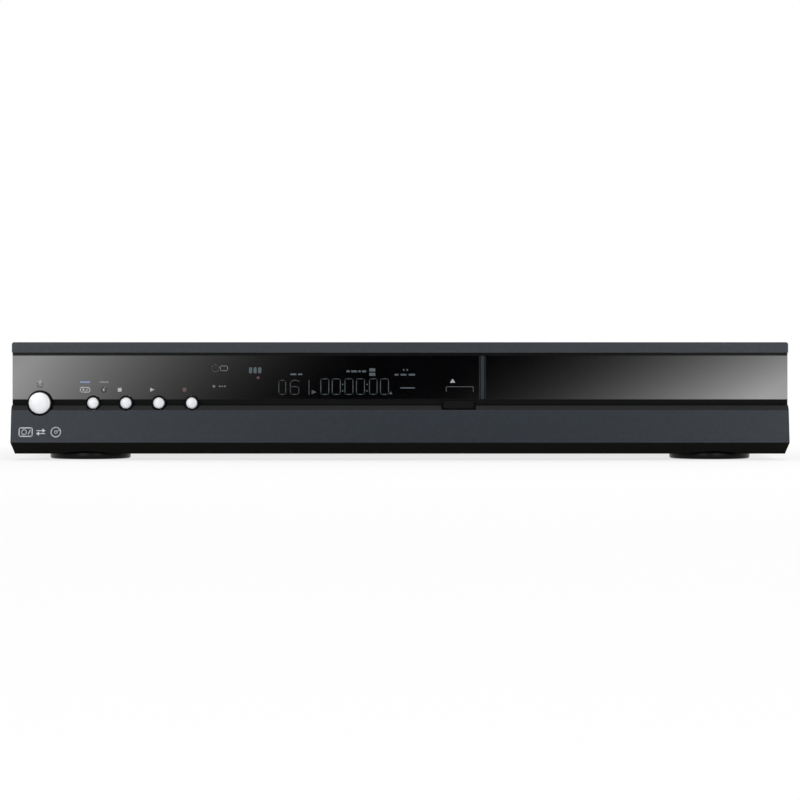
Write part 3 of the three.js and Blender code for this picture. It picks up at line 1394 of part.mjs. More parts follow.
const inletZ = inletZ0 + inletHeight / 2;
const inletY0 = rearPlateY + sheet - inletDepth;
function mainsInlet() {
  const y1 = rearPlateY + sheet;
  const housing = block([inletX - inletWidth / 2, inletX + inletWidth / 2], [inletY0, y1],
    [inletZ0, inletZ0 + inletHeight]);
  const flange = block([inletX - inletWidth / 2 - inletWall, inletX + inletWidth / 2 + inletWall],
    [rearPlateY, y1],
    [inletZ0 - fit, inletZ0 + inletHeight + inletWall]);
  const cavityHalf = inletHeight / 2 - inletWall;
  const cavity = moved(prism(roundedOutline(inletWidth / 2 - inletWall, cavityHalf, inletWall), 'y',
    [inletY0 + inletWall, y1 + overrun]), inletX, 0, inletZ);
  const pins = [-1, 1].map((side) => rod(inletPinRadius, 'y',
    [inletY0 + sheet, inletY0 + inletWall + inletPinLength],
    [inletX + side * inletPinPitch / 2, inletZ], smallSteps));
  return join(cut(join(housing, flange), cavity), pins);
}

place('top_cover', 'cover', topCover());
place('chassis_pan', 'zinc', chassisPan());
place('rear_panel', 'zinc', rearPanel());
Object.entries(footPlaces).forEach(([name, centre]) => place(name, 'rubber', foot(centre)));
place('drive_frame', 'black', driveFrame());
place('drive_lid', 'steel', driveLid());
place('disc_tray', 'black', discTray());
place('tray_pinion', 'ivory', trayPinion());
place('reduction_gear', 'ivory', reductionGear());
place('motor_pulley', 'ivory', motorPulley());
place('loading_motor', 'steel', loadingMotor());
place('loading_belt', 'rubber', loadingBelt());
place('cam_slider', 'ivory', camSlider());
place('traverse_frame', 'steel', traverseFrame());
place('spindle_motor', 'steel', spindleMotor());
place('turntable', 'black', turntable());
place('disc_clamp', 'ivory', discClamp());
place('pickup', 'black', pickup());
place('guide_rod_left', 'steel', guideRod(-1));
place('guide_rod_right', 'steel', guideRod(1));
place('lead_screw', 'steel', leadScrew());
place('sled_motor', 'steel', sledMotor());
place('hard_disk', 'aluminium', hardDisk());
place('hard_disk_bracket', 'zinc', diskBracket());
place('power_board', 'board', powerBoard());
place('transformer', 'copper', transformer());
place('bulk_capacitor', 'rubber', bulkCapacitor());
place('power_heat_sink', 'aluminium', powerHeatSink());
place('main_board', 'board', mainBoard());
place('main_heat_sink', 'aluminium', mainHeatSink());
place('tuner_module', 'steel', tunerModule());
place('disk_cable', 'cable', flatCable(cableXs.disk_cable, diskY1, diskZ + cableDrop));
place('drive_cable', 'cable', flatCable(cableXs.drive_cable, driveRearY, driveFloorTopZ + cableDrop));
place('fan_frame', 'black', fanFrame());
place('fan_rotor', 'black', fanRotor());
place('antenna_terminals', 'steel', antennaTerminals());
place('av_jack_block', 'black', jackBlock());
place('hdmi_socket', 'steel', hdmiSocket());
place('lan_socket', 'black', lanSocket());
place('optical_output', 'black', opticalOutput());
place('ac_inlet', 'black', mainsInlet());

export default recorder;
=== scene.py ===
import math

import bmesh
import bpy
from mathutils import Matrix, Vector


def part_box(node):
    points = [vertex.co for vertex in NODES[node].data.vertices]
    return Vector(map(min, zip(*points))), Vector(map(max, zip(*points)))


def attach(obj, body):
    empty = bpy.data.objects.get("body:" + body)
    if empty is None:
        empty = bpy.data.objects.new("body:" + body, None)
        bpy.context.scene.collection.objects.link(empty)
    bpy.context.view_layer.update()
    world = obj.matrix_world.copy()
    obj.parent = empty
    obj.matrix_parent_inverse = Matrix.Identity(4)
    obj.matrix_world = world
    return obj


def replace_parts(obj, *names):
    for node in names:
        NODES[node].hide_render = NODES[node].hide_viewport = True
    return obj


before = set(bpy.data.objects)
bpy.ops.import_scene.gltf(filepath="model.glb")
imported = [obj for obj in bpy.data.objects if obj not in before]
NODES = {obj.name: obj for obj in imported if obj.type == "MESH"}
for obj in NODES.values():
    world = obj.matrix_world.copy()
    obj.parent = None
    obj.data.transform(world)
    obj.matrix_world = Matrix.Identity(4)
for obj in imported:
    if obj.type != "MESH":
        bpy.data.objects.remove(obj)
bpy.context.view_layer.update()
MM = 0.001


def mm(value):
    return value * MM


def srgb(red, green, blue):
    """The linear colour for one written as 0 to 255 sRGB numbers."""
    shares = [value / 255 for value in (red, green, blue)]
    return (*[s / 12.92 if s <= 0.04045 else ((s + 0.055) / 1.055) ** 2.4 for s in shares], 1.0)


def shade(colour, factor):
    return (colour[0] * factor, colour[1] * factor, colour[2] * factor, 1.0)


# Materials: how their nodes are made

BLACK_POINT = (0, 0, 0, 1)
WHITE_POINT = (1, 1, 1, 1)
MIX_FACTOR, MIX_BASE, MIX_TOP = 0, 6, 7
MIX_RESULT = 2


def shader_node(tree, kind, inputs=None, **settings):
    """A new node; each input takes a value or another node's socket."""
    made = tree.nodes.new("ShaderNode" + kind)
    for key, value in settings.items():
        setattr(made, key, value)
    for key, value in (inputs or {}).items():
        if isinstance(value, bpy.types.NodeSocket):
            tree.links.new(value, made.inputs[key])
        else:
            made.inputs[key].default_value = value
    return made


def maths(tree, operation, *values):
    return shader_node(tree, "Math", dict(enumerate(values)), operation=operation).outputs[0]


class Look:
    """One procedural material, its colour given as sRGB, with noise in colour, roughness and bump."""

    def __init__(self, name, colour, roughness, metallic=0.0):
        self.material = bpy.data.materials.new(name)
        self.material.use_nodes = True
        self.tree = self.material.node_tree
        self.shader = next(n for n in self.tree.nodes if n.type == "BSDF_PRINCIPLED")
        self.colour = srgb(*colour)
        self.material.diffuse_color = self.colour
        self.put("Base Color", self.colour)
        self.put("Roughness", roughness)
        self.put("Metallic", metallic)
        self.place = self.node("TexCoord").outputs["Object"]

    def put(self, socket, value):
        self.shader.inputs[socket].default_value = value

    def feed(self, source, socket):
        self.tree.links.new(source, self.shader.inputs[socket])

    def node(self, kind, inputs=None, **settings):
        return shader_node(self.tree, kind, inputs, **settings)

    def pattern(self, kind, inputs, **settings):
        """A texture node, over the object's own coordinates unless its inputs name others."""
        return self.node(kind, {"Vector": self.place, **inputs}, **settings)

    def noise(self, scale, detail, stretch=None):
        place = self.place
        if stretch:
            place = self.node("Mapping", {"Vector": place, "Scale": stretch}).outputs["Vector"]
        inputs = {"Vector": place, "Scale": scale, "Detail": detail}
        return self.node("TexNoise", inputs).outputs["Fac"]

    def ramp(self, source, stops):
        """Two colours, each with its place along the ramp."""
        ramp = self.node("ValToRGB", {"Fac": source})
        for element, (place, colour) in zip(ramp.color_ramp.elements, stops):
            element.position = place
            element.color = colour
        return ramp.outputs["Color"]

    def mix(self, factor, base, top):
        inputs = {MIX_FACTOR: factor, MIX_BASE: base, MIX_TOP: top}
        return self.node("Mix", inputs, data_type="RGBA").outputs[MIX_RESULT]

    def shades(self, source, colour, *stops):
        """A colour made darker or lighter by a factor at each stop."""
        return self.ramp(source, [(place, shade(colour, factor)) for place, factor in stops])

    def tint(self, source, *stops):
        self.feed(self.shades(source, self.colour, *stops), "Base Color")

    def mottled(self, colour, scale, amount, detail=3.0, stretch=None):
        """A colour that noise makes a little darker and lighter."""
        noise = self.noise(scale, detail, stretch)
        return self.shades(noise, colour, (0.3, 1 - amount), (0.7, 1 + amount))

    def mottle(self, scale, amount, detail=3.0, stretch=None):
        self.feed(self.mottled(self.colour, scale, amount, detail, stretch), "Base Color")

    def sheen_span(self, scale, low, high, stretch=None):
        """Roughness that noise moves between two values."""
        inputs = {"Value": self.noise(scale, 4.0, stretch), "To Min": low, "To Max": high}
        self.feed(self.node("MapRange", inputs).outputs["Result"], "Roughness")

    def relief(self, height, depth, strength, round_edge=0.0):
        inputs = {"Height": height, "Distance": depth, "Strength": strength}
        if round_edge:
            inputs["Normal"] = self.node("Bevel", {"Radius": round_edge}, samples=4).outputs["Normal"]
        self.feed(self.node("Bump", inputs).outputs["Normal"], "Normal")


def moulded(name, colour, roughness, grain=2600, depth=0.02, edge=0.25, amount=0.06, shine=0.3):
    """Moulded plastic or paint; the grain's depth and the edges' radius are in millimetres."""
    look = Look(name, colour, roughness)
    look.put("Specular IOR Level", shine)
    look.mottle(420, amount, 6.0)
    look.sheen_span(900, roughness - 0.05, roughness + 0.05)
    look.relief(look.noise(grain, 2.0), mm(depth), 0.8, mm(edge))
    return look.material


def metal(name, colour, roughness, stretch=(1, 1, 1), spangle=None):
    """Bare metal, brushed where its noise is stretched, or zinc with spangles."""
    look = Look(name, colour, roughness, 0.9)
    if spangle:
        cells = look.pattern("TexVoronoi", {"Scale": spangle})
        look.tint(cells.outputs["Distance"], (0.0, 1.05), (0.7, 0.93))
    else:
        look.mottle(300, 0.05, 4.0, stretch)
    look.sheen_span(700, roughness - 0.06, roughness + 0.06, stretch)
    look.relief(look.noise(900, 3.0, stretch), mm(0.01), 0.5, mm(0.15))
    return look.material


def board_look(name):
    """A green circuit board with tracks under its mask and tinned holes."""
    look = Look(name, (28, 96, 58), 0.35)
    tracks = look.pattern("TexBrick", {
        "Scale": 130, "Mortar Size": 0.035, "Color1": look.colour, "Color2": srgb(34, 108, 66),
        "Mortar": srgb(52, 132, 82)}, offset=0.37, squash=1.6, squash_frequency=3)
    pads = look.pattern("TexVoronoi", {"Scale": 260})
    hole = look.ramp(pads.outputs["Distance"], [(0.16, WHITE_POINT), (0.2, BLACK_POINT)])
    look.feed(look.mix(hole, tracks.outputs["Color"], srgb(196, 190, 170)), "Base Color")
    look.sheen_span(600, 0.3, 0.42)
    look.relief(tracks.outputs["Fac"], mm(0.03), 0.5)
    return look.material


def gloss_look(name, colour):
    look = Look(name, colour, 0.03)
    look.put("IOR", 1.5)
    look.put("Coat Weight", 0.15)
    look.put("Coat Roughness", 0.05)
    look.mottle(60, 0.15, 2.0)
    look.sheen_span(140, 0.02, 0.05)
    look.relief(look.noise(35, 1.0), mm(0.004), 0.1, mm(0.2))
    return look.material


def spun_look(name, colour):
    """Round turning marks about the middle of the piece's front face."""
    look = Look(name, colour, 0.36, 0.35)
    across = look.node("TexCoord").outputs["Generated"]
    centre = look.node("Mapping", {"Vector": across, "Location": (-0.5, 0.0, -0.5)})
    rings = look.pattern("TexWave", {
        "Vector": centre.outputs["Vector"], "Scale": 14, "Distortion": 1.5, "Detail": 3},
        wave_type="RINGS", rings_direction="Y")
    look.tint(rings.outputs["Fac"], (0.0, 0.94), (1.0, 1.03))
    look.sheen_span(800, 0.3, 0.42)
    look.relief(rings.outputs["Fac"], mm(0.015), 0.4, mm(0.2))
    return look.material


def rubber_look(name, colour):
    look = Look(name, colour, 0.75)
    look.mottle(900, 0.2)
    look.sheen_span(500, 0.65, 0.85)
    look.relief(look.noise(1800, 2.0), mm(0.05), 0.6, mm(0.2))
    return look.material


def ink_look(name, colour, glow=0.0):
    look = Look(name, colour, 0.25)
    look.put("Coat Weight", 0.2)
    look.mottle(1500, 0.12)
    look.sheen_span(900, 0.2, 0.35)
    look.relief(look.noise(3000, 1.0), mm(0.005), 0.3)
    if glow:
        look.put("Emission Color", look.colour)
        look.put("Emission Strength", glow)
    return look.material


def winding_look(name):
    look = Look(name, (190, 150, 52), 0.4)
    bands = look.pattern("TexWave", {"Scale": 260, "Distortion": 0.6}, bands_direction="Z")
    look.tint(bands.outputs["Fac"], (0.2, 0.8), (0.8, 1.1))
    look.sheen_span(500, 0.3, 0.5)
    look.relief(bands.outputs["Fac"], mm(0.06), 0.5)
    return look.material


def ribbon_look(name):
    look = Look(name, (186, 188, 192), 0.5)
    strands = look.pattern("TexWave", {"Scale": 260}, bands_direction="X")
    look.tint(strands.outputs["Fac"], (0.1, 0.78), (0.6, 1.0))
    look.sheen_span(500, 0.42, 0.58)
    look.relief(strands.outputs["Fac"], mm(0.1), 0.6)
    return look.material


def fascia_look(name, colour, bands):
    """The front moulding; each band of heights in millimetres takes the colour given with it, which for
    some bands is painted shade rather than the moulding's own colour.
    """
    look = Look(name, colour, 0.4)
    look.put("Specular IOR Level", 0.1)
    level = look.node("SeparateXYZ", {0: look.place}).outputs["Z"]
    tone_and_painted_shade = look.mottled(look.colour, 420, 0.06, 6.0)
    for low, high, band_tone_and_shade in bands:
        above = maths(look.tree, "GREATER_THAN", level, mm(low))
        below = maths(look.tree, "LESS_THAN", level, mm(high))
        inside = maths(look.tree, "MULTIPLY", above, below)
        tone_and_painted_shade = look.mix(inside, tone_and_painted_shade, look.mottled(band_tone_and_shade, 420, 0.06, 6.0))
    look.feed(tone_and_painted_shade, "Base Color")
    look.sheen_span(900, 0.22, 0.3)
    look.relief(look.noise(2200, 2.0), mm(0.025), 0.7, mm(0.4))
    return look.material


# Materials: the front's heights in millimetres, the painted shade and the strip's colour, then each
# material by name

LEDGE_LOW, LEDGE_HIGH = 27.4, 33.4
GROOVE_LOW, GROOVE_HIGH = 57.5, 59.15
STRIP_HIGH = 64.6
# Painted shade: a near-black colour laid on the fascia's ledge band and on the groove under the top strip,
# where shade falls in the recesses. It is not the moulding's own colour.
PAINTED_SHADE_TONE = srgb(7, 8, 9)
STRIP_TONE = srgb(66, 70, 75)

# The ledge band and the groove band get painted shade; the strip band gets its own lighter colour.
FASCIA = fascia_look("fascia_texture", (54, 59, 65), (
    (LEDGE_LOW, LEDGE_HIGH, PAINTED_SHADE_TONE), (GROOVE_LOW, GROOVE_HIGH, PAINTED_SHADE_TONE),
    (GROOVE_HIGH, STRIP_HIGH, STRIP_TONE)))
BLACK = moulded("black_texture", (16, 16, 16), 0.48, grain=1900, depth=0.03)
RAIL = moulded("rail_texture", (8, 9, 10), 0.5, grain=2200, edge=0.2, amount=0.1, shine=0.06)
LIP = moulded("lip_texture", (9, 8, 6), 0.5, grain=2200, edge=0.3, amount=0.1, shine=0.03)
COVER = moulded("cover_paint", (44, 45, 47), 0.5, grain=1300, depth=0.06, edge=0.5, amount=0.08)
FOOT = moulded("foot_satin", (9, 9, 9), 0.3, grain=1800, depth=0.01, edge=0.4, amount=0.1, shine=0.12)
BUTTON_BLACK = moulded("button_black", (15, 15, 16), 0.42, grain=2200, depth=0.01, edge=0.2, shine=0.06)
IVORY, YELLOW, WHITE, RED, GREEN, BLUE = [
    moulded(name, colour, roughness, grain=1600, depth=0.01) for name, colour, roughness in (
        ("natural_plastic", (226, 222, 206), 0.35), ("yellow_ring", (232, 196, 40), 0.4),
        ("white_ring", (232, 232, 228), 0.4), ("red_ring", (190, 36, 36), 0.4),
        ("green_ring", (40, 140, 76), 0.4), ("blue_ring", (42, 76, 178), 0.4))]
CHIP = moulded("chip_resin", (26, 26, 28), 0.55, depth=0.01, edge=0.1)
CAPACITOR = moulded("capacitor_sleeve", (30, 34, 52), 0.35, grain=1600, depth=0.008, edge=0.1)
LABEL = moulded("bare_label", (206, 208, 210), 0.4, grain=1200, depth=0.006, edge=0.05, amount=0.03)
ZINC = metal("zinc_sheet", (186, 189, 192), 0.38, spangle=150)
STEEL = metal("bright_steel", (196, 198, 200), 0.28, stretch=(1, 14, 14))
CAST = metal("cast_alloy", (176, 178, 181), 0.45)
BRASS = metal("gilt_metal", (212, 178, 96), 0.25)
BLACK_SCREW = metal("blackened_steel", (52, 52, 54), 0.4)
COPPER = metal("enamelled_copper", (176, 104, 52), 0.3)
GLOSS = gloss_look("black_gloss", (6, 6, 8))
TUBE = gloss_look("tube_glass", (26, 34, 34))
SILVER = spun_look("spun_silver", (222, 223, 226))
BOARD = board_look("green_board")
RUBBER = rubber_look("black_rubber", (24, 24, 24))
WINDING = winding_look("wound_tape")
RIBBON = ribbon_look("grey_ribbon")
WHITE_INK = ink_look("white_ink", (180, 182, 186))
GREY_INK = ink_look("grey_ink", (102, 103, 108))
DIM_INK = ink_look("dim_ink", (78, 80, 82))
PALE_INK = ink_look("pale_ink", (192, 194, 198))
RED_INK = ink_look("red_ink", (84, 48, 47))
GREY_LAMP = ink_look("grey_lamp", (112, 114, 120))
BLUE_LAMP = ink_look("blue_lamp", (104, 118, 158), glow=0.1)
DISPLAY_MARK = ink_look("display_mark", (68, 80, 84), glow=0.12)
COUNTER_LINE = ink_look("counter_line", (50, 56, 59), glow=0.12)
CLOCK_LINE = ink_look("clock_line", (58, 68, 72), glow=0.15)
LEVEL_MARK = ink_look("level_mark", (58, 74, 80), glow=0.15)

CARRIED = (
    (FASCIA, "front_fascia"), (LIP, "lower_lip"), (RAIL, "button_rail"), (COVER, "top_cover"),
    (GLOSS, "display_window tray_bezel"), (TUBE, "vfd_display"), (RUBBER, "loading_belt turntable"),
    (SILVER, "power_button source_button stop_button play_button record_button"),
    (BUTTON_BLACK, "open_close_button"), (BOARD, "switch_board display_board power_board main_board"),
    (ZINC, "chassis_pan rear_panel drive_lid traverse_frame hard_disk_bracket"),
    (FOOT, "foot_front_left foot_front_right foot_rear_left foot_rear_right"),
    (BLACK, "drive_frame disc_tray pickup bulk_capacitor fan_frame fan_rotor av_jack_block"),
    (BLACK, "lan_socket optical_output ac_inlet"),
    (IVORY, "tray_pinion reduction_gear motor_pulley cam_slider disc_clamp"),
    (STEEL, "loading_motor spindle_motor guide_rod_left guide_rod_right lead_screw sled_motor"),
    (STEEL, "tuner_module antenna_terminals hdmi_socket"),
    (CAST, "hard_disk power_heat_sink main_heat_sink"), (WINDING, "transformer"),
    (RIBBON, "disk_cable drive_cable"),
)
for material, names in CARRIED:
    for name in names.split():
        mesh = NODES[name].data
        mesh.materials.clear()
        mesh.materials.append(material)


# Mesh pieces, given in millimetres

BACK = (0, 1, 0)
UP = (0, 0, 1)
DOWN = (0, 0, -1)
SHARP_ANGLE = math.radians(35)


def cross_axes(axis):
    """An axis of length one with two others square to it."""
    along = Vector(axis).normalized()
    side = along.orthogonal().normalized()
    return along, side, along.cross(side)


def bars(points, width, closed=False):
    """The outline of a short bar for each stretch of a drawn line."""
    ends = points + points[:1] if closed else points
    for (x1, z1), (x2, z2) in zip(ends, ends[1:]):
        length = math.hypot(x2 - x1, z2 - z1)
        ux = (x2 - x1) / length * width / 2
        uz = (z2 - z1) / length * width / 2
        yield [(x1 - ux + uz, z1 - uz - ux), (x2 + ux + uz, z2 + uz - ux),
               (x2 + ux - uz, z2 + uz + ux), (x1 - ux - uz, z1 - uz + ux)]


def rectangle(x1, x2, z1, z2):
    return [(x1, z1), (x2, z1), (x2, z2), (x1, z2)]


def polar(x, z, radius, angle):
    return (x + radius * math.cos(angle), z + radius * math.sin(angle))


def circle(x, z, radius, steps):
    return [polar(x, z, radius, 2 * math.pi * i / steps) for i in range(steps)]


def round_box(left, right, low, high, radius, steps=4):
    points = []
    for cx, cz, start in ((right - radius, high - radius, 0), (left + radius, high - radius, 90),
                          (left + radius, low + radius, 180), (right - radius, low + radius, 270)):
        for i in range(steps + 1):
            points.append(polar(cx, cz, radius, math.radians(start + 90 * i / steps)))
    return points


class Piece:
    """One mesh made of many small closed forms."""

    def __init__(self):
        self.mesh = bmesh.new()

    def loops(self, rings, close=True):
        """Joins rings of points, one after the other, and closes both ends."""
        made = [[self.mesh.verts.new(Vector(point) * MM) for point in ring] for ring in rings]
        count = len(made[0])
        for near, far in zip(made, made[1:]):
            for i in range(count):
                j = (i + 1) % count
                self.mesh.faces.new((near[i], near[j], far[j], far[i]))
        if close:
            self.mesh.faces.new(list(reversed(made[0])))
            self.mesh.faces.new(made[-1])

    def through(self, sections):
        """Outlines in X and Z, each with its own y."""
        self.loops([[(x, y, z) for x, z in outline] for y, outline in sections])

    def tiers(self, sections):
        """Outlines in X and Y, each with its own z."""
        self.loops([[(x, y, z) for x, y in outline] for z, outline in sections])

    def slab(self, outline, near, far):
        self.through([(near, outline), (far, outline)])

    def plate(self, outline, low, high):
        self.tiers([(low, outline), (high, outline)])

    def line(self, points, width, near, far, closed=False):
        """A drawn line in X and Z, as short bars."""
        for outline in bars(points, width, closed):
            self.slab(outline, near, far)

    def spun(self, profile, centre, axis, steps=24, close=True):
        """A profile of (distance along the axis, radius), turned about an axis through centre."""
        along, side, other = cross_axes(axis)
        spokes = [side * x + other * y for x, y in circle(0, 0, 1, steps)]
        rings = []
        for reach, radius in profile:
            core = Vector(centre) + along * reach
            rings.append([core + out * max(radius, 0.001) for out in spokes])
        self.loops(rings, close)

    def ring(self, centre, axis, inner, outer, low, high, steps=24, soft=0.12):
        """A closed ring with softened edges."""
        profile = [(low, inner), (low, outer - soft), (low + soft, outer), (high - soft, outer),
                   (high, outer - soft), (high, inner + soft), (high - soft, inner), (low, inner)]
        self.spun(profile, centre, axis, steps, False)

    def screw(self, centre, axis, radius=2.6, height=1.1, turn=0.4):
        """A pan head with a raised cross in its recess, its underside at centre."""
        head = [(-0.2, radius * 0.9), (0.0, radius)]
        for rise, share in ((0.35, 0.98), (0.75, 0.8), (1, 0.5), (1, 0.42), (0.45, 0.2), (0.45, 0)):
            head.append((height * rise, radius * share))
        self.spun(head, centre, axis, 20)
        along, side, other = cross_axes(axis)
        base = Vector(centre) + along * (height * 0.86)
        for k in range(4):
            angle = turn + k * math.pi / 2
            out = side * math.cos(angle) + other * math.sin(angle)
            thick = along.cross(out) * (radius * 0.08)
            arm = []
            for reach, lift in ((0.14, 0.0), (0.62, 0.0), (0.62, 0.108), (0.14, 0.18)):
                arm.append(base + out * (radius * reach) + along * (height * lift))
            self.loops([[point - thick for point in arm], [point + thick for point in arm]])

    def done(self, name, material, slot, body="root", smooth=True):
        """Makes the object, rides it on its body and gives it its material; the slot name is not used."""
        bmesh.ops.recalc_face_normals(self.mesh, faces=self.mesh.faces)
        mesh = bpy.data.meshes.new(name)
        self.mesh.to_mesh(mesh)
        self.mesh.free()
        mesh.materials.append(material)
        if smooth:
            for face in mesh.polygons:
                face.use_smooth = True
            mesh.set_sharp_from_angle(angle=SHARP_ANGLE)
        made = in_scene(name, mesh)
        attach(made, body)
        return made


def in_scene(name, data):
    made = bpy.data.objects.new(name, data)
    bpy.context.scene.collection.objects.link(made)
    return made


def edges(node):
    """A node's lowest and highest corners in millimetres."""
    low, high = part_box(node)
    return low / MM, high / MM


def middle(node):
    """The middle of a node's box in millimetres."""
    low, high = edges(node)
    return (low + high) / 2


# Front: where the photograph's pixels lie on the real front, and every mark's pixel places

PIXEL = 0.5548
MIDDLE_COLUMN = 399.5
FLOOR_ROW = 459.1

COUNTER_ROWS = (380, 394)
COUNTER_FIGURES = ((278.5, 285.3, "0"), (290, 298.5, "6"), (308.6, 309, "1"))
CLOCK_ROWS = (378.5, 394)
CLOCK_ZEROS = ((320.4, 328.4), (331.8, 339.9), (344.5, 352.5), (356, 364), (369, 376.6), (380, 388))
COLON_COLUMNS = (342.2, 366.6)
COLON_ROWS = (384, 390.5)
PLAY_SIGN = (313.6, 391.7)
CLOCK_TAIL = (390.3, 392.4)

# Columns from and to, row of the middle, height in millimetres
DISPLAY_BARS = (
    (290, 296, 374, 0.9), (297.6, 302, 374, 0.9), (346, 349.4, 371, 1.1), (350.8, 356.4, 371, 1.1),
    (357.8, 360.4, 371, 1.1), (361.8, 365.7, 371, 1.1), (399.6, 414.5, 387.6, 0.7),
    (394, 398, 374.4, 1.0), (400, 406, 374.4, 1.0), (408, 414.5, 374.4, 1.0),
    (402.5, 404, 369.6, 1.0), (406, 407.5, 369.6, 1.0))
BLOCK_COLUMNS = (368.8, 374.8)
BLOCK_ROWS = ((368, 371.2), (372.4, 375.6))

DISC_SIGN = (215, 368)
BOX_SIGN = (223.6, 368)
DOT_SIGN = (213.6, 386)
SMALL_DOTS = (219.4, 222.0, 224.6)
LEVEL_COLUMNS = ((248.6, 251.8), (253.2, 256.4), (257.8, 261.0))
LEVEL_ROWS = (367, 373)
RECORD_LAMP = (257.8, 377.3)

LABEL_ROW = 389.4
RECORD_COLUMN = 184.3
STOP_COLUMN = 119.5
PLAY_COLUMN = 152
POWER_SIGN = (40, 384)
DISK_COLUMN = 85
DISC_COLUMN = 103.6
LAMP_ON = (79.9, 90.2, 380.8, 382.8)
LAMP_OFF = (99, 108.5, 381, 382.6)
TRAY_SIGN = (452, 380.6)
BRACKET_COLUMNS = (445.7, 472.7)
BRACKET_ROWS = (386.4, 391)

STORE_ROW = 431.5
STORE_COLUMNS = (27, 42, 57)


def photo_x(column):
    return (column - MIDDLE_COLUMN) * PIXEL


def photo_z(row):
    return (FLOOR_ROW - row) * PIXEL


def spot(column, row):
    return photo_x(column), photo_z(row)


def photo_box(left, right, top, bottom, radius, steps=4):
    return round_box(photo_x(left), photo_x(right), photo_z(bottom), photo_z(top), radius, steps)


# Front: prints and lamps on the window

PRINT_OUT = 0.04
PRINT_IN = 0.02
LAMP_OUT = 0.1
FACE = edges("display_window")[0].y
NEAR = FACE - PRINT_OUT
FAR = FACE + PRINT_IN
FIGURE_LINE = 0.42
SIGN_LINE = 0.45
BOLD_LINE = 0.5
FINE_LINE = 0.35


class Print(Piece):
    """Flat marks on the window, each drawn in X and Z."""

    def mark(self, outline):
        self.slab(outline, NEAR, FAR)

    def draw(self, points, width, closed=False):
        self.line(points, width, NEAR, FAR, closed)

    def dot(self, x, z, radius, steps):
        self.mark(circle(x, z, radius, steps))

    def printed(self, name, material):
        self.done(name, material, "display_glass", smooth=False)


def figure(piece, left, right, rows, shape):
    """A plain figure in outline."""
    x1, z1 = spot(left, rows[0])
    x2, z2 = spot(right, rows[1])
    waist = (z1 + z2) / 2
    if shape == "0":
        piece.draw(round_box(x1, x2, z2, z1, 0.9, 3), FIGURE_LINE, True)
    elif shape == "6":
        piece.draw(round_box(x1, x2, z2, waist + 0.4, 1.2, 3), FIGURE_LINE, True)
        hook = [(x2, z1 - 0.6), (x2 - 1.2, z1), (x1 + 1.2, z1), (x1, z1 - 1.4), (x1, waist)]
        piece.draw(hook, FIGURE_LINE)
    elif shape == "1":
        piece.draw([(x1, z1), (x1, z2)], FIGURE_LINE)


def display_figures():
    counter = Print()
    for left, right, shape in COUNTER_FIGURES:
        figure(counter, left, right, COUNTER_ROWS, shape)
    counter.printed("display_counter", COUNTER_LINE)

    clock = Print()
    for left, right in CLOCK_ZEROS:
        figure(clock, left, right, CLOCK_ROWS, "0")
    for column in COLON_COLUMNS:
        for row in COLON_ROWS:
            clock.dot(*spot(column, row), 0.42, 10)
    x, z = spot(*PLAY_SIGN)
    clock.mark([(x - 1.3, z - 1.2), (x + 1.4, z), (x - 1.3, z + 1.2)])
    x, z = spot(*CLOCK_TAIL)
    clock.mark([(x - 0.9, z - 0.9), (x + 0.9, z - 0.9), (x, z + 0.9)])
    clock.printed("display_clock", CLOCK_LINE)


def display_bars():
    marks = Print()
    for left, right, row, high in DISPLAY_BARS:
        half = high / PIXEL / 2
        marks.mark(photo_box(left, right, row - half, row + half, 0.25, 2))
    for top, bottom in BLOCK_ROWS:
        marks.mark(photo_box(*BLOCK_COLUMNS, top, bottom, 0.3, 2))
    marks.printed("display_marks", DISPLAY_MARK)

    levels = Print()
    for left, right in LEVEL_COLUMNS:
        levels.mark(photo_box(left, right, *LEVEL_ROWS, 0.5, 3))
    levels.printed("window_level_marks", LEVEL_MARK)


def source_signs():
    """A disc and a box in outline, over a row of dots."""
    signs = Print()
    x, z = spot(*DISC_SIGN)
    signs.draw(circle(x, z, 1.9, 18), SIGN_LINE, True)
    signs.draw(circle(x, z, 0.55, 10), FINE_LINE, True)
    x, z = spot(*BOX_SIGN)
    signs.draw(rectangle(x - 2, x + 2, z + 1.3, z - 1.3), SIGN_LINE, True)
    x, z = spot(*DOT_SIGN)
    signs.dot(x, z, 0.8, 12)
    for column in SMALL_DOTS:
        signs.dot(photo_x(column), z, 0.5, 10)
    signs.printed("window_source_marks", GREY_INK)


def record_marks():
    marks = Print()
    marks.dot(*spot(*RECORD_LAMP), 0.8, 14)
    marks.dot(*spot(RECORD_COLUMN, LABEL_ROW), 1.25, 18)
    marks.printed("window_record_marks", RED_INK)


def source_lamps():
    for name, place, radius, material in (("source_lamp_on", LAMP_ON, 0.5, BLUE_LAMP),
                                          ("source_lamp_off", LAMP_OFF, 0.45, GREY_LAMP)):
        lamp = Piece()
        lamp.slab(photo_box(*place, radius), FACE - LAMP_OUT, FAR)
        lamp.done(name, material, "display_glass")


def button_labels():
    """A square, a triangle and a power mark over their buttons."""
    labels = Print()
    x, z = spot(STOP_COLUMN, LABEL_ROW)
    labels.mark(rectangle(x - 1.05, x + 1.05, z - 1.05, z + 1.05))
    x, z = spot(PLAY_COLUMN, LABEL_ROW)
    labels.mark([(x - 1.1, z - 1.2), (x + 1.3, z), (x - 1.1, z + 1.2)])
    x, z = spot(*POWER_SIGN)
    arc = [polar(x, z, 1.7, math.radians(90 - degrees)) for degrees in range(40, 321, 20)]
    labels.draw(arc, BOLD_LINE)
    labels.draw([(x, z + 0.3), (x, z + 2.1)], BOLD_LINE)
    labels.printed("window_labels", WHITE_INK)


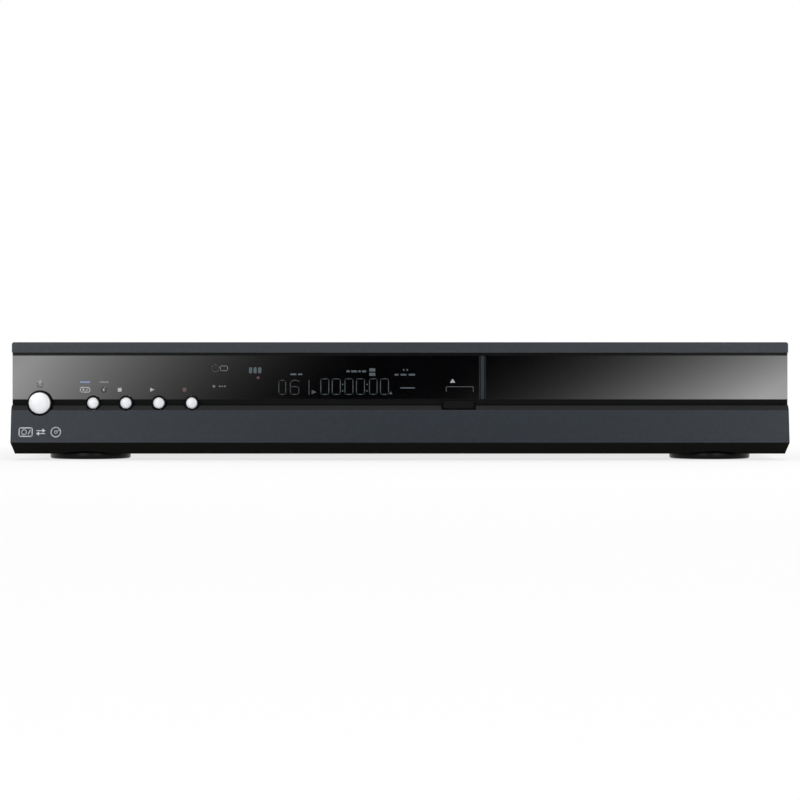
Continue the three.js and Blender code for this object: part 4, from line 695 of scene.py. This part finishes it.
def source_labels():
    """A disk box and a disc over the source button."""
    labels = Print()
    x, z = spot(DISK_COLUMN, LABEL_ROW)
    labels.draw(rectangle(x - 2.6, x + 2.6, z + 1.3, z - 1.3), SIGN_LINE, True)
    labels.dot(x - 0.9, z, 0.6, 12)
    labels.draw([(x + 0.6, z - 0.5), (x + 1.6, z + 0.5)], 0.4)
    x, z = spot(DISC_COLUMN, LABEL_ROW)
    labels.draw(circle(x, z, 1.5, 18), BOLD_LINE, True)
    labels.dot(x, z, 0.5, 10)
    labels.printed("window_source_labels", WHITE_INK)


def tray_labels():
    """A triangle and a bracket over the open and close button."""
    sign = Print()
    x, z = spot(*TRAY_SIGN)
    sign.mark([(x - 1.5, z - 1.0), (x + 1.5, z - 1.0), (x, z + 1.2)])
    sign.printed("window_tray_mark", WHITE_INK)

    bracket = Print()
    left, right = BRACKET_COLUMNS
    top, bottom = BRACKET_ROWS
    bracket.draw([spot(left, bottom), spot(left, top), spot(right, top), spot(right, bottom)], FINE_LINE)
    bracket.printed("window_tray_label", DIM_INK)


display_figures()
display_bars()
source_signs()
record_marks()
source_lamps()
button_labels()
source_labels()
tray_labels()


# Front: storage marks on the lower fascia, which leans back towards its top

LEAN_TOP_Y = -162.0
lean_foot = edges("front_fascia")[0]
LEAN = (LEAN_TOP_Y - lean_foot.y) / (LEDGE_LOW - lean_foot.z)
STORE_LINE = 0.6


def leaning(piece, outline, lift=PRINT_OUT):
    """An outline in X and Z, laid as a thin print on the leaning face."""
    rings = []
    for off in (-lift, lift / 2):
        rings.append([(x, lean_foot.y + LEAN * (z - lean_foot.z) + off, z) for x, z in outline])
    piece.loops(rings)


def leaning_line(piece, points, width, closed=False):
    for outline in bars(points, width, closed):
        leaning(piece, outline)


def store_marks():
    """A disk box, two arrows and a disc."""
    marks = Piece()
    disk_x, arrows_x, disc_x = [photo_x(column) for column in STORE_COLUMNS]
    z = photo_z(STORE_ROW)
    leaning_line(marks, round_box(disk_x - 3.6, disk_x + 3.6, z - 2.3, z + 2.3, 0.8, 2), STORE_LINE, True)
    leaning_line(marks, circle(disk_x - 0.9, z, 1.35, 14), 0.4, True)
    leaning_line(marks, [(disk_x + 1.5, z - 1.1), (disk_x + 2.5, z + 1.1)], 0.4)
    for side in (-1, 1):
        level = z + side * 0.8
        neck = arrows_x + side * 0.9
        leaning(marks, [(arrows_x + side * 2.6, level), (neck, level + 1.15), (neck, level - 1.15)])
        leaning(marks, rectangle(arrows_x - 2.4, arrows_x + 2.4, level - 0.22, level + 0.22), 0.03)
    leaning_line(marks, circle(disc_x, z, 2.6, 22), STORE_LINE, True)
    leaning_line(marks, circle(disc_x, z, 0.75, 12), 0.4, True)
    leaning_line(marks, [(disc_x + 1.1, z + 0.7), (disc_x + 1.9, z + 1.2)], 0.35)
    marks.done("fascia_store_marks", PALE_INK, "display_glass", smooth=False)


store_marks()


# Rear: sizes and places in millimetres

PLATE = edges("rear_panel")[1].y
PRINTED_DOWN = 0.02
JACK_PITCH = 15
JACK_COLOURS = (
    ("jack_rings_yellow", YELLOW, ((0, 0), (0, 1))), ("jack_rings_white", WHITE, ((1, 0), (1, 1))),
    ("jack_rings_red", RED, ((2, 0), (2, 1))), ("jack_rings_green", GREEN, ((3, 1),)),
    ("jack_rings_blue", BLUE, ((3, 0),)))
SLEEVE_INNER, SLEEVE_OUTER = 4.34, 4.55
ANTENNA_INSET = 6.5
THREAD_TURNS, THREAD_PITCH, THREAD_START = 9, 0.85, 3.6
ANTENNA_END = 12.0
INLET_PIN_HALF_PITCH, INLET_PIN_Z = 4.3, 25.1
LAN_CONTACTS, LAN_PITCH, LAN_CONTACT_Z = 8, 1.02, 25.2
LAN_CONTACT_STEPS = ((141.0, 0.4), (145.0, 0.4), (150.0, 0.2))
LAN_LAMP_OFFSET = 5.6
HDMI_CONTACTS, HDMI_CONTACT_Y = 10, (146.0, 152.4)
SHUTTER_HALF = 2.2

COVER_SCREW_COLUMNS = (-190, -64, 64, 190)
COVER_SCREW_DROP = 3.5
COVER_SIDE_SCREWS = ((-118, 20), (92, 20))
PANEL_SCREWS = ((-163, 47), (-20, 30), (60, 30), (90.5, 27), (119, 30), (143, 36), (197, 22), (197, 50))
FAN_SCREW_INSET = 5
EARTH_SCREW = (-150, PLATE, 18)
RATING_PLATE = (-152, -96, 34, 52)
SOCKET_PLATE = (-7, 47, 50.5, 55.5)
PAN_SCREWS = ((-120, -130), (0, -130), (120, -130), (-195, 10), (195, 10), (-100, 130), (20, 130),
              (110, 130), (-60, -60), (50, -60), (60, 45), (200, -60))


# Rear: rings, contacts and the shutter

jack_low, jack_high = edges("av_jack_block")
JACK_END = jack_high.y - PLATE


def jack(column, row):
    return (jack_low.x + JACK_PITCH * (column + 0.5), PLATE, jack_low.z + JACK_PITCH * (row + 0.5))


def jack_rings():
    """A coloured ring on the block and another in each jack's mouth."""
    for name, material, places in JACK_COLOURS:
        rings = Piece()
        for place in places:
            rings.ring(jack(*place), BACK, 4.36, 5.7, 0, 1.6)
            rings.ring(jack(*place), BACK, 1.85, 3.5, JACK_END - 0.1, JACK_END + 0.1, soft=0.04)
        rings.done(name, material, "ivory_plastic")


def jack_sleeves():
    profile = [(1.6, SLEEVE_INNER), (1.6, SLEEVE_OUTER), (JACK_END - 0.1, SLEEVE_OUTER),
               (JACK_END + 0.15, 4.4), (JACK_END + 0.15, 3.5), (JACK_END + 0.05, 3.5),
               (JACK_END + 0.05, SLEEVE_INNER), (1.6, SLEEVE_INNER)]
    sleeves = Piece()
    for column in range(4):
        for row in range(2):
            sleeves.spun(profile, jack(column, row), BACK, close=False)
    sleeves.done("jack_sleeves", STEEL, "steel")


def antenna_terminals():
    """The thread, insulator and contact of each aerial terminal."""
    threads = Piece()
    insulators = Piece()
    pins = Piece()
    low, high = edges("antenna_terminals")
    for x in (low.x + ANTENNA_INSET, high.x - ANTENNA_INSET):
        centre = (x, PLATE, (low.z + high.z) / 2)
        for turn in range(THREAD_TURNS):
            start = THREAD_START + turn * THREAD_PITCH
            threads.ring(centre, BACK, 4.68, 5.05, start, start + 0.5, soft=0.16)
        insulators.ring(centre, BACK, 1.25, 3.7, ANTENNA_END - 0.1, ANTENNA_END, soft=0.03)
        pins.ring(centre, BACK, 0.7, 1.18, 3.2, ANTENNA_END - 0.1, 16, 0.1)
    threads.done("antenna_threads", STEEL, "steel")
    insulators.done("antenna_insulators", WHITE, "ivory_plastic")
    pins.done("antenna_contacts", BRASS, "steel")


def inlet_pins():
    pins = Piece()
    x = middle("ac_inlet").x
    front = edges("ac_inlet")[0].y
    for side in (-1, 1):
        pins.spun([(3.1, 1.22), (3.1, 1.34), (11.6, 1.34), (12.1, 0.9), (12.1, 0)],
                  (x + side * INLET_PIN_HALF_PITCH, front, INLET_PIN_Z), BACK, 16)
    pins.done("inlet_pins", BRASS, "steel")


def socket_contacts():
    """The spring contacts in the network socket and those on the tongue of the video socket."""
    contacts = Piece()
    first = middle("lan_socket").x - LAN_PITCH * (LAN_CONTACTS - 1) / 2
    for i in range(LAN_CONTACTS):
        x = first + i * LAN_PITCH
        contacts.through([(y, rectangle(x - 0.2, x + 0.2, LAN_CONTACT_Z, LAN_CONTACT_Z + rise))
                          for y, rise in LAN_CONTACT_STEPS])
    hdmi = middle("hdmi_socket")
    for i in range(HDMI_CONTACTS):
        x = hdmi.x - 4.5 + i
        contacts.slab(rectangle(x - 0.22, x + 0.22, hdmi.z + 0.52, hdmi.z + 0.66), *HDMI_CONTACT_Y)
    contacts.done("socket_contacts", BRASS, "steel")


def socket_lamps():
    lamps = Piece()
    high = edges("lan_socket")[1]
    for side in (-1, 1):
        x = middle("lan_socket").x + side * LAN_LAMP_OFFSET
        outline = round_box(x - 1.3, x + 1.3, high.z - 2.6, high.z - 1.0, 0.3, 3)
        lamps.slab(outline, high.y - 0.05, high.y + 0.25)
    lamps.done("lan_lamps", GREEN, "ivory_plastic")


def optical_shutter():
    """A small door with a ridge near its top."""
    door = Piece()
    centre = middle("optical_output")
    face = edges("optical_output")[1].y
    door.slab(round_box(centre.x - SHUTTER_HALF, centre.x + SHUTTER_HALF, centre.z - SHUTTER_HALF,
                        centre.z + SHUTTER_HALF, 0.5, 3), face - 0.9, face - 0.5)
    ridge = centre.z + 1.9
    door.line([(centre.x - 1.6, ridge), (centre.x + 1.6, ridge)], 0.5, face - 0.5, face - 0.2)
    door.done("optical_shutter", GREY_INK, "black_plastic")


# Rear and casing: screws and bare plates

def casing_screws():
    screws = Piece()
    low, high = edges("top_cover")
    for x in COVER_SCREW_COLUMNS:
        screws.screw((x, high.y, high.z - COVER_SCREW_DROP), BACK)
    for x, z in PANEL_SCREWS:
        screws.screw((x, PLATE, z), BACK, 2.4, 1.0, 0.2 + x * 0.01)
    for side, x in ((-1, low.x), (1, high.x)):
        for y, z in COVER_SIDE_SCREWS:
            screws.screw((x, y, z), (side, 0, 0), 3.0, 1.2, 0.3 + y * 0.01)
    low, high = edges("fan_frame")
    for x in (low.x + FAN_SCREW_INSET, high.x - FAN_SCREW_INSET):
        for z in (low.z + FAN_SCREW_INSET, high.z - FAN_SCREW_INSET):
            screws.screw((x, PLATE, z), BACK, 2.7, 1.1, 0.7 + x * 0.02)
    screws.done("casing_screws", BLACK_SCREW, "black_plastic")


def earth_screw():
    earth = Piece()
    earth.screw(EARTH_SCREW, BACK, 3.2, 1.5, 0.2)
    earth.ring(EARTH_SCREW, BACK, 3.3, 4.6, 0, 0.5, soft=0.1)
    earth.done("earth_screw", STEEL, "steel")


def bare_plates():
    for name, box, radius, thickness in (("bare_rating_plate", RATING_PLATE, 1.2, 0.12),
                                         ("bare_socket_plate", SOCKET_PLATE, 0.8, 0.1)):
        plate = Piece()
        plate.slab(round_box(*box, radius), PLATE - PRINTED_DOWN, PLATE + thickness)
        plate.done(name, LABEL, "zinc_steel", smooth=False)


def underside_screws():
    screws = Piece()
    level = edges("chassis_pan")[0].z
    for x, y in PAN_SCREWS:
        screws.screw((x, y, level), DOWN, 2.6, 1.0, 0.3 + x * 0.01 + y * 0.02)
    screws.done("underside_screws", STEEL, "steel")


jack_rings()
jack_sleeves()
antenna_terminals()
inlet_pins()
socket_contacts()
socket_lamps()
optical_shutter()
casing_screws()
earth_screw()
bare_plates()
underside_screws()


# Inside: sizes and places in millimetres

BOARD_TOP = 15.1

# Middle in X and Y, width and depth
CHIPS = (
    (120, 124, 14, 9), (34, 112, 18, 12), (6, 100, 12, 6), (6, 116, 12, 6), (44, 88, 9, 6),
    (136, 92, 14, 10), (108, 98, 8, 5), (170, 82, 12, 8), (-14, 92, 9, 5), (120, 108, 8, 5),
    (-184, 62, 9, 6), (-100, 40, 12, 6), (-108, 90, 9, 6))
CHIP_HEIGHT = 1.7
LEG_PITCH = 1.6
LEG_HALF_WIDTH = 0.22
LEG_THICKNESS = 0.18

# Middle in X and Y, radius and height
CANS = (
    (-20, 130, 4, 11), (-8, 130, 3.2, 8), (4, 128, 3.2, 8), (16, 128, 3.2, 8), (28, 128, 3.2, 8),
    (40, 128, 3.2, 8), (58, 128, 3.2, 8), (100, 88, 4, 9), (180, 92, 4, 9), (192, 90, 5, 12),
    (198, 76, 4, 10), (60, 72, 3.2, 8), (84, 72, 3.2, 8), (140, 128, 3.2, 8), (-100, 12, 5, 16),
    (-112, 12, 5, 16), (-124, 12, 6.2, 20), (-98, 62, 5, 14), (-108, 70, 4, 12), (-96, 78, 5, 14),
    (-186, 44, 4, 12), (-174, 92, 5, 16))

# Middle in X and Y, width, depth and height
PLUGS = ((-12, 70, 16, 6, 7), (176, 70, 22, 6, 7), (-96, 136, 18, 7, 8), (-192, 100, 8, 10, 9),
         (-94, 110, 7, 20, 8))
PLUG_WALL = 0.7
POST_PITCH = 2
POST_HALF = 0.3
FILM_CAPACITORS = ((-184, 118, 24, 9, 17), (-150, 128, 18, 8, 13), (-120, 34, 16, 6, 11))

CHOKE = Vector((-186, 80, BOARD_TOP + 4.4))
CHOKE_TURNS = 26
CHOKE_RADIUS = 8
WIRE_STEPS = 12
WIRE_REACH, WIRE_HEIGHT, WIRE_HALF = 3.6, 4.2, 0.55

DISK_LABEL = (38, 46, 22)
DISK_CAP_OFFSET = 44
DISK_SCREW_X, DISK_SCREW_Y = 44, 64
LID_SCREW_INSET = 8
THREAD_STEPS, THREAD_ROUNDS = 10, 30
THREAD_END = 2


# Inside: parts on the boards

def package(piece, x, y, wide, deep, steps, outline, *rounding):
    """A box on a board; each step is a lift above it and how far in the sides stand there."""
    sections = []
    for lift, inset in steps:
        half_x = wide / 2 - inset
        half_y = deep / 2 - inset
        box = outline(x - half_x, x + half_x, y - half_y, y + half_y, *rounding)
        sections.append((BOARD_TOP + lift, box))
    piece.tiers(sections)


def chip(body, legs, x, y, wide, deep):
    """A black package with a row of legs on its two long sides."""
    steps = ((0.25, 0.25), (CHIP_HEIGHT * 0.5, 0.0), (CHIP_HEIGHT, 0.3))
    package(body, x, y, wide, deep, steps, rectangle)
    shoulder = CHIP_HEIGHT * 0.45
    for i in range(int((wide - 1.2) / LEG_PITCH) + 1):
        px = x - wide / 2 + 0.6 + i * LEG_PITCH
        for side in (-1, 1):
            sections = []
            for reach, lift in ((-0.15, shoulder), (0.35, shoulder), (0.6, 0.02), (1.1, 0.02)):
                foot = BOARD_TOP + lift
                outline = rectangle(px - LEG_HALF_WIDTH, px + LEG_HALF_WIDTH, foot, foot + LEG_THICKNESS)
                sections.append((y + side * (deep / 2 + reach), outline))
            legs.through(sections)


def can(sleeve, top, x, y, radius, high):
    """An upright capacitor: a sleeve with a bead near its foot, and a bare scored top."""
    sleeve.spun([(0, radius * 0.94), (0.5, radius), (1.1, radius), (1.5, radius * 0.93), (1.9, radius),
                 (high - 0.5, radius), (high, radius * 0.88)], (x, y, BOARD_TOP), UP, 18)
    top.spun([(high - 0.4, radius * 0.84), (high + 0.03, radius * 0.84), (high + 0.03, radius * 0.4),
              (high - 0.06, radius * 0.36), (high - 0.06, 0)], (x, y, BOARD_TOP), UP, 18)


def plug(piece, x, y, wide, deep, high):
    """An open connector shell with a row of posts."""
    left, right = x - wide / 2, x + wide / 2
    front, rear = y - deep / 2, y + deep / 2
    for outline in (rectangle(left, right, front, front + PLUG_WALL),
                    rectangle(left, right, rear - PLUG_WALL, rear),
                    rectangle(left, left + PLUG_WALL, front + PLUG_WALL, rear - PLUG_WALL),
                    rectangle(right - PLUG_WALL, right, front + PLUG_WALL, rear - PLUG_WALL)):
        piece.plate(outline, BOARD_TOP, BOARD_TOP + high)
    for i in range(int((wide - 2) / POST_PITCH)):
        px = left + 1.8 + i * POST_PITCH
        post = rectangle(px - POST_HALF, px + POST_HALF, y - POST_HALF, y + POST_HALF)
        piece.plate(post, BOARD_TOP, BOARD_TOP + high * 0.8)


def board_parts():
    bodies = Piece()
    legs = Piece()
    for place in CHIPS:
        chip(bodies, legs, *place)
    bodies.done("board_chips", CHIP, "black_plastic")
    legs.done("board_chip_legs", STEEL, "steel", smooth=False)

    sleeves = Piece()
    tops = Piece()
    for place in CANS:
        can(sleeves, tops, *place)
    sleeves.done("board_capacitors", CAPACITOR, "black_plastic")
    tops.done("board_capacitor_tops", STEEL, "steel")

    plugs = Piece()
    for place in PLUGS:
        plug(plugs, *place)
    plugs.done("board_connectors", IVORY, "ivory_plastic", smooth=False)


def film_capacitors():
    boxes = Piece()
    for x, y, wide, deep, high in FILM_CAPACITORS:
        steps = ((0.4, 0.3), (0.9, 0.0), (high - 0.8, 0.0), (high, 0.8))
        package(boxes, x, y, wide, deep, steps, round_box, 1)
    boxes.done("film_capacitors", YELLOW, "ivory_plastic")


def mains_choke():
    """Turns of wire round a flat core."""
    coil = Piece()
    up = Vector(UP)
    for x, y in circle(0, 0, 1, CHOKE_TURNS):
        out = Vector((x, y, 0))
        shift = out.cross(up) * WIRE_HALF
        turn = []
        for across, along in circle(0, 0, 1, WIRE_STEPS):
            turn.append(CHOKE + out * (CHOKE_RADIUS + WIRE_REACH * across) + up * (WIRE_HEIGHT * along))
        coil.loops([[point - shift for point in turn], [point + shift for point in turn]])
    coil.done("mains_choke", COPPER, "winding")


# Inside: the disk and the drive

def disk_fittings():
    """A bare label, the cap of the disk's spindle and the screws of its lid."""
    centre = middle("hard_disk")
    top = edges("hard_disk")[1].z
    half_width, front, rear = DISK_LABEL
    outline = round_box(centre.x - half_width, centre.x + half_width, centre.y - front, centre.y + rear, 3)
    label = Piece()
    label.plate(outline, top - PRINTED_DOWN, top + 0.12)
    label.done("disk_bare_label", LABEL, "aluminium", smooth=False)

    cap = Piece()
    hub = (centre.x, centre.y + DISK_CAP_OFFSET, top)
    cap.ring(hub, UP, 7.5, 12, 0, 0.5)
    cap.ring(hub, UP, 0.5, 5.5, 0, 0.35)
    for side in (-1, 1):
        for row in (-1, 0, 1):
            place = (centre.x + side * DISK_SCREW_X, centre.y + row * DISK_SCREW_Y, top)
            cap.screw(place, UP, 2.4, 0.7, 0.4 + row)
    cap.done("disk_lid_fittings", STEEL, "steel")


def drive_lid_screws():
    screws = Piece()
    low, high = edges("drive_lid")
    for x in (low.x + LID_SCREW_INSET, high.x - LID_SCREW_INSET):
        for y in (low.y + LID_SCREW_INSET, high.y - LID_SCREW_INSET):
            screws.screw((x, y, high.z), UP, 2.8, 1.2, x * 0.02 + y * 0.01)
    screws.done("drive_lid_screws", STEEL, "steel")


def lead_screw_thread():
    """A helix with a narrow crest, which turns with the lead screw."""
    low, high = edges("lead_screw")
    centre = middle("lead_screw")
    reach = high.y - low.y - 2 * THREAD_END
    flank = Vector((0, 0.5, 0))
    rings = []
    count = THREAD_ROUNDS * THREAD_STEPS
    for step in range(count + 1):
        angle = 2 * math.pi * step / THREAD_STEPS
        out = Vector((math.cos(angle), 0, math.sin(angle)))
        core = Vector((centre.x, low.y + THREAD_END + reach * step / count, centre.z))
        side = core + out * 1.25
        rings.append([core + out * 1.15, side + flank, core + out * 1.5, side - flank])
    thread = Piece()
    thread.loops(rings)
    thread.done("lead_screw_thread", STEEL, "steel", body="screw")


board_parts()
film_capacitors()
mains_choke()
disk_fittings()
drive_lid_screws()
lead_screw_thread()


# The tray with its round steps cut fine

DISC_RADIUS, DISC_STEP = 60.56, 3.5
SMALL_DISC_RADIUS, SMALL_DISC_STEP = 40.54, 4.3
HUB_RADIUS = 22.04
CUT_MARGIN = 1
LEVEL_NORMAL = 0.5
TRAY_SHARP_ANGLE = math.radians(30)


def round_tool(radius, centre, low, high, steps=96):
    """A fine round plug to cut with, which isn't part of the object."""
    form = Piece()
    form.spun([(low, radius), (high, radius)], (centre.x, centre.y, 0), UP, steps)
    mesh = bpy.data.meshes.new("round_tool")
    form.mesh.to_mesh(mesh)
    form.mesh.free()
    return in_scene("round_tool", mesh)


def tray_copy():
    """The tray's CAD mesh as a new, joined mesh without its shading."""
    source = NODES["disc_tray"].data
    points = [vertex.co for vertex in source.vertices]
    faces = [tuple(face.vertices) for face in source.polygons]
    mesh = bpy.data.meshes.new("disc_tray_fine")
    mesh.from_pydata(points, [], faces)
    mesh.materials.append(BLACK)
    form = bmesh.new()
    form.from_mesh(mesh)
    bmesh.ops.remove_doubles(form, verts=form.verts, dist=mm(0.001))
    form.to_mesh(mesh)
    form.free()
    return in_scene("disc_tray_fine", mesh)


def fine_tray():
    """The tray again, with its two disc steps and its opening cut by finer plugs."""
    tray = tray_copy()
    low, high = edges("disc_tray")
    hub = middle("turntable")
    top = high.z + CUT_MARGIN
    tools = [round_tool(DISC_RADIUS, hub, high.z - DISC_STEP, top),
             round_tool(SMALL_DISC_RADIUS, hub, high.z - SMALL_DISC_STEP, top),
             round_tool(HUB_RADIUS, hub, low.z - CUT_MARGIN, top, 64)]
    for tool in tools:
        cut = tray.modifiers.new("cut", "BOOLEAN")
        cut.operation = "DIFFERENCE"
        cut.solver = "EXACT"
        cut.object = tool
    settled = bpy.context.evaluated_depsgraph_get()
    fine = bpy.data.meshes.new_from_object(tray.evaluated_get(settled))
    tray.modifiers.clear()
    tray.data = fine
    for tool in tools:
        bpy.data.objects.remove(tool)
    for face in fine.polygons:
        face.use_smooth = abs(face.normal.z) < LEVEL_NORMAL
    fine.set_sharp_from_angle(angle=TRAY_SHARP_ANGLE)
    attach(tray, "tray")
    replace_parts(tray, "disc_tray")


fine_tray()


# The feet, turned fine

FEET = ("foot_front_left", "foot_front_right", "foot_rear_left", "foot_rear_right")
FOOT_RADIUS = 22.5
FOOT_GROOVE = ((0, 15), (0.4, 15.3), (0.4, 16.6), (0, 16.9))
FOOT_RIM = ((0, 1.2), (0.2, 0.5), (0.6, 0.15), (1.1, 0), (3.5, 0), (3.9, 0.15), (4.1, 0.6), (4.6, 1.9))
FOOT_STEM_RADIUS = 17


def fine_foot(name):
    """A flat foot with a groove in its tread and rounded edges."""
    high = edges(name)[1]
    centre = middle(name)
    rim = [(rise, FOOT_RADIUS - inset) for rise, inset in FOOT_RIM]
    profile = [(0, 0), *FOOT_GROOVE, *rim, (high.z, FOOT_STEM_RADIUS), (high.z, 0)]
    foot = Piece()
    foot.spun(profile, (centre.x, centre.y, 0), UP, 72)
    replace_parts(foot.done(name + "_fine", FOOT, "foot_plastic"), name)


for name in FEET:
    fine_foot(name)


# Camera, in metres

CAMERA_PLACE = (0.0, -1.7085, 0.050)
SENSOR_WIDTH = 36
LENS = 125.86
SHIFT = -0.0384
NEAREST_SEEN = 0.01

camera_data = bpy.data.cameras.new("camera")
camera_data.sensor_width = SENSOR_WIDTH
camera_data.lens = LENS
camera_data.shift_y = SHIFT
camera_data.clip_start = NEAREST_SEEN
camera = in_scene("camera", camera_data)
camera.location = CAMERA_PLACE
camera.rotation_euler = (math.radians(90), 0, 0)
bpy.context.scene.camera = camera


# Lamps, in metres and watts

LAMPS = (
    ("top_lamp", (0.0, 0.1, 1.6), (0, 0, 0), 1.8, 1.8, 17),
    ("rear_lamp", (0.3, 1.9, 0.9), (0, 0, 0.03), 1.4, 0.9, 16),
    ("left_lamp", (-1.9, 0.3, 0.8), (0, 0, 0.03), 1.0, 0.8, 9),
    ("right_lamp", (1.9, 0.3, 0.8), (0, 0, 0.03), 1.0, 0.8, 9))

for name, place, target, width, height, watts in LAMPS:
    data = bpy.data.lights.new(name, "AREA")
    data.shape = "RECTANGLE"
    data.size = width
    data.size_y = height
    data.energy = watts
    lamp = in_scene(name, data)
    lamp.location = place
    lamp.rotation_euler = (Vector(target) - Vector(place)).to_track_quat("-Z", "Y").to_euler()


# The lit screen behind the camera, which the gloss front mirrors, in metres

SCREEN_Y = -1.80
SCREEN_HALF_WIDTH = 0.9
SCREEN_TOP = 0.4
UPPER_SCREEN_TOP = 0.9
FIELD_HALF_WIDTH = 0.445
FIELD_POWER = 3.3
FIELD_STRENGTH = 6.6
FIELD_MIDDLE = 0.042
FIELD_TOP = 0.08
FIELD_SLANT = -1.37
FIELD_FADE = -6.0


def screen_light():
    """Dark in the middle and brighter to each side, with a slanted field that fades upwards."""
    material = bpy.data.materials.new("front_screen")
    material.use_nodes = True
    tree = material.node_tree
    tree.nodes.clear()
    place = shader_node(tree, "TexCoord").outputs["Object"]
    split = shader_node(tree, "SeparateXYZ", {0: place})
    capped = maths(tree, "MINIMUM", split.outputs["Z"], FIELD_TOP)
    height = maths(tree, "SUBTRACT", capped, FIELD_MIDDLE)
    slanted = maths(tree, "MULTIPLY_ADD", height, FIELD_SLANT, split.outputs["X"])
    share = maths(tree, "DIVIDE", maths(tree, "ABSOLUTE", slanted), FIELD_HALF_WIDTH)
    curve = maths(tree, "MINIMUM", maths(tree, "POWER", share, FIELD_POWER), 1.0)
    level = maths(tree, "MULTIPLY", curve, FIELD_STRENGTH)
    fade = maths(tree, "MULTIPLY_ADD", height, FIELD_FADE, 1.0)
    glow = shader_node(tree, "Emission", {"Strength": maths(tree, "MULTIPLY", level, fade)})
    shader_node(tree, "OutputMaterial", {"Surface": glow.outputs[0]})
    return material


def sheet(name, corners, material):
    mesh = bpy.data.meshes.new(name)
    mesh.from_pydata(corners, [], [(0, 1, 2, 3)])
    mesh.materials.append(material)
    return in_scene(name, mesh)


def screen(name, low, high, material):
    outline = rectangle(-SCREEN_HALF_WIDTH, SCREEN_HALF_WIDTH, low, high)
    made = sheet(name, [(x, SCREEN_Y, z) for x, z in outline], material)
    made.visible_camera = False
    return made


field = screen_light()
screen("front_screen", 0.0, SCREEN_TOP, field)
screen("upper_screen", SCREEN_TOP, UPPER_SCREEN_TOP, field).visible_diffuse = False


# Floor and world

FLOOR_HALF = 6
FLOOR_DROP = mm(0.05)
PALE_FROM, PALE_TO = 0.35, 1.4
PALE_SHARE = 0.72
FILL_STRENGTH = 0.32
BACKDROP_STRENGTH = 1.0


def seen_share(tree):
    """1 where a ray comes from the camera, a mirror or clear glass."""
    rays = shader_node(tree, "LightPath")
    seen = maths(tree, "MAXIMUM", rays.outputs["Is Camera Ray"], rays.outputs["Is Glossy Ray"])
    return maths(tree, "MAXIMUM", seen, rays.outputs["Is Transmission Ray"])


def blended(tree, share, base, top, out):
    blend = shader_node(tree, "MixShader", {0: share, 1: base, 2: top})
    tree.links.new(blend.outputs[0], out.inputs["Surface"])


def floor():
    """Pale paper that keeps the shadow and turns to plain white further out."""
    look = Look("floor_paper", (246, 246, 246), 0.9)
    look.mottle(4, 0.01)
    reach = look.node("VectorMath", {0: look.place}, operation="LENGTH").outputs["Value"]
    far = look.node("MapRange", {
        "Value": reach, "From Min": PALE_FROM, "From Max": PALE_TO, "To Min": PALE_SHARE})
    share = maths(look.tree, "MULTIPLY", seen_share(look.tree), far.outputs["Result"])
    plain = look.node("Emission")
    out = next(n for n in look.tree.nodes if n.type == "OUTPUT_MATERIAL")
    blended(look.tree, share, look.shader.outputs[0], plain.outputs[0], out)
    outline = rectangle(-FLOOR_HALF, FLOOR_HALF, -FLOOR_HALF, FLOOR_HALF)
    made = sheet("floor", [(x, y, 0) for x, y in outline], look.material)
    made.location.z = -FLOOR_DROP


def backdrop():
    """A plain white background, and a weaker even fill on the object."""
    world = bpy.data.worlds.new("studio")
    bpy.context.scene.world = world
    world.use_nodes = True
    tree = world.node_tree
    tree.nodes.clear()
    lights = []
    for strength in (FILL_STRENGTH, BACKDROP_STRENGTH):
        light = shader_node(tree, "Background", {"Color": WHITE_POINT, "Strength": strength})
        lights.append(light.outputs[0])
    blended(tree, seen_share(tree), *lights, shader_node(tree, "OutputWorld"))


floor()
backdrop()
bpy.context.scene.view_settings.view_transform = "Standard"
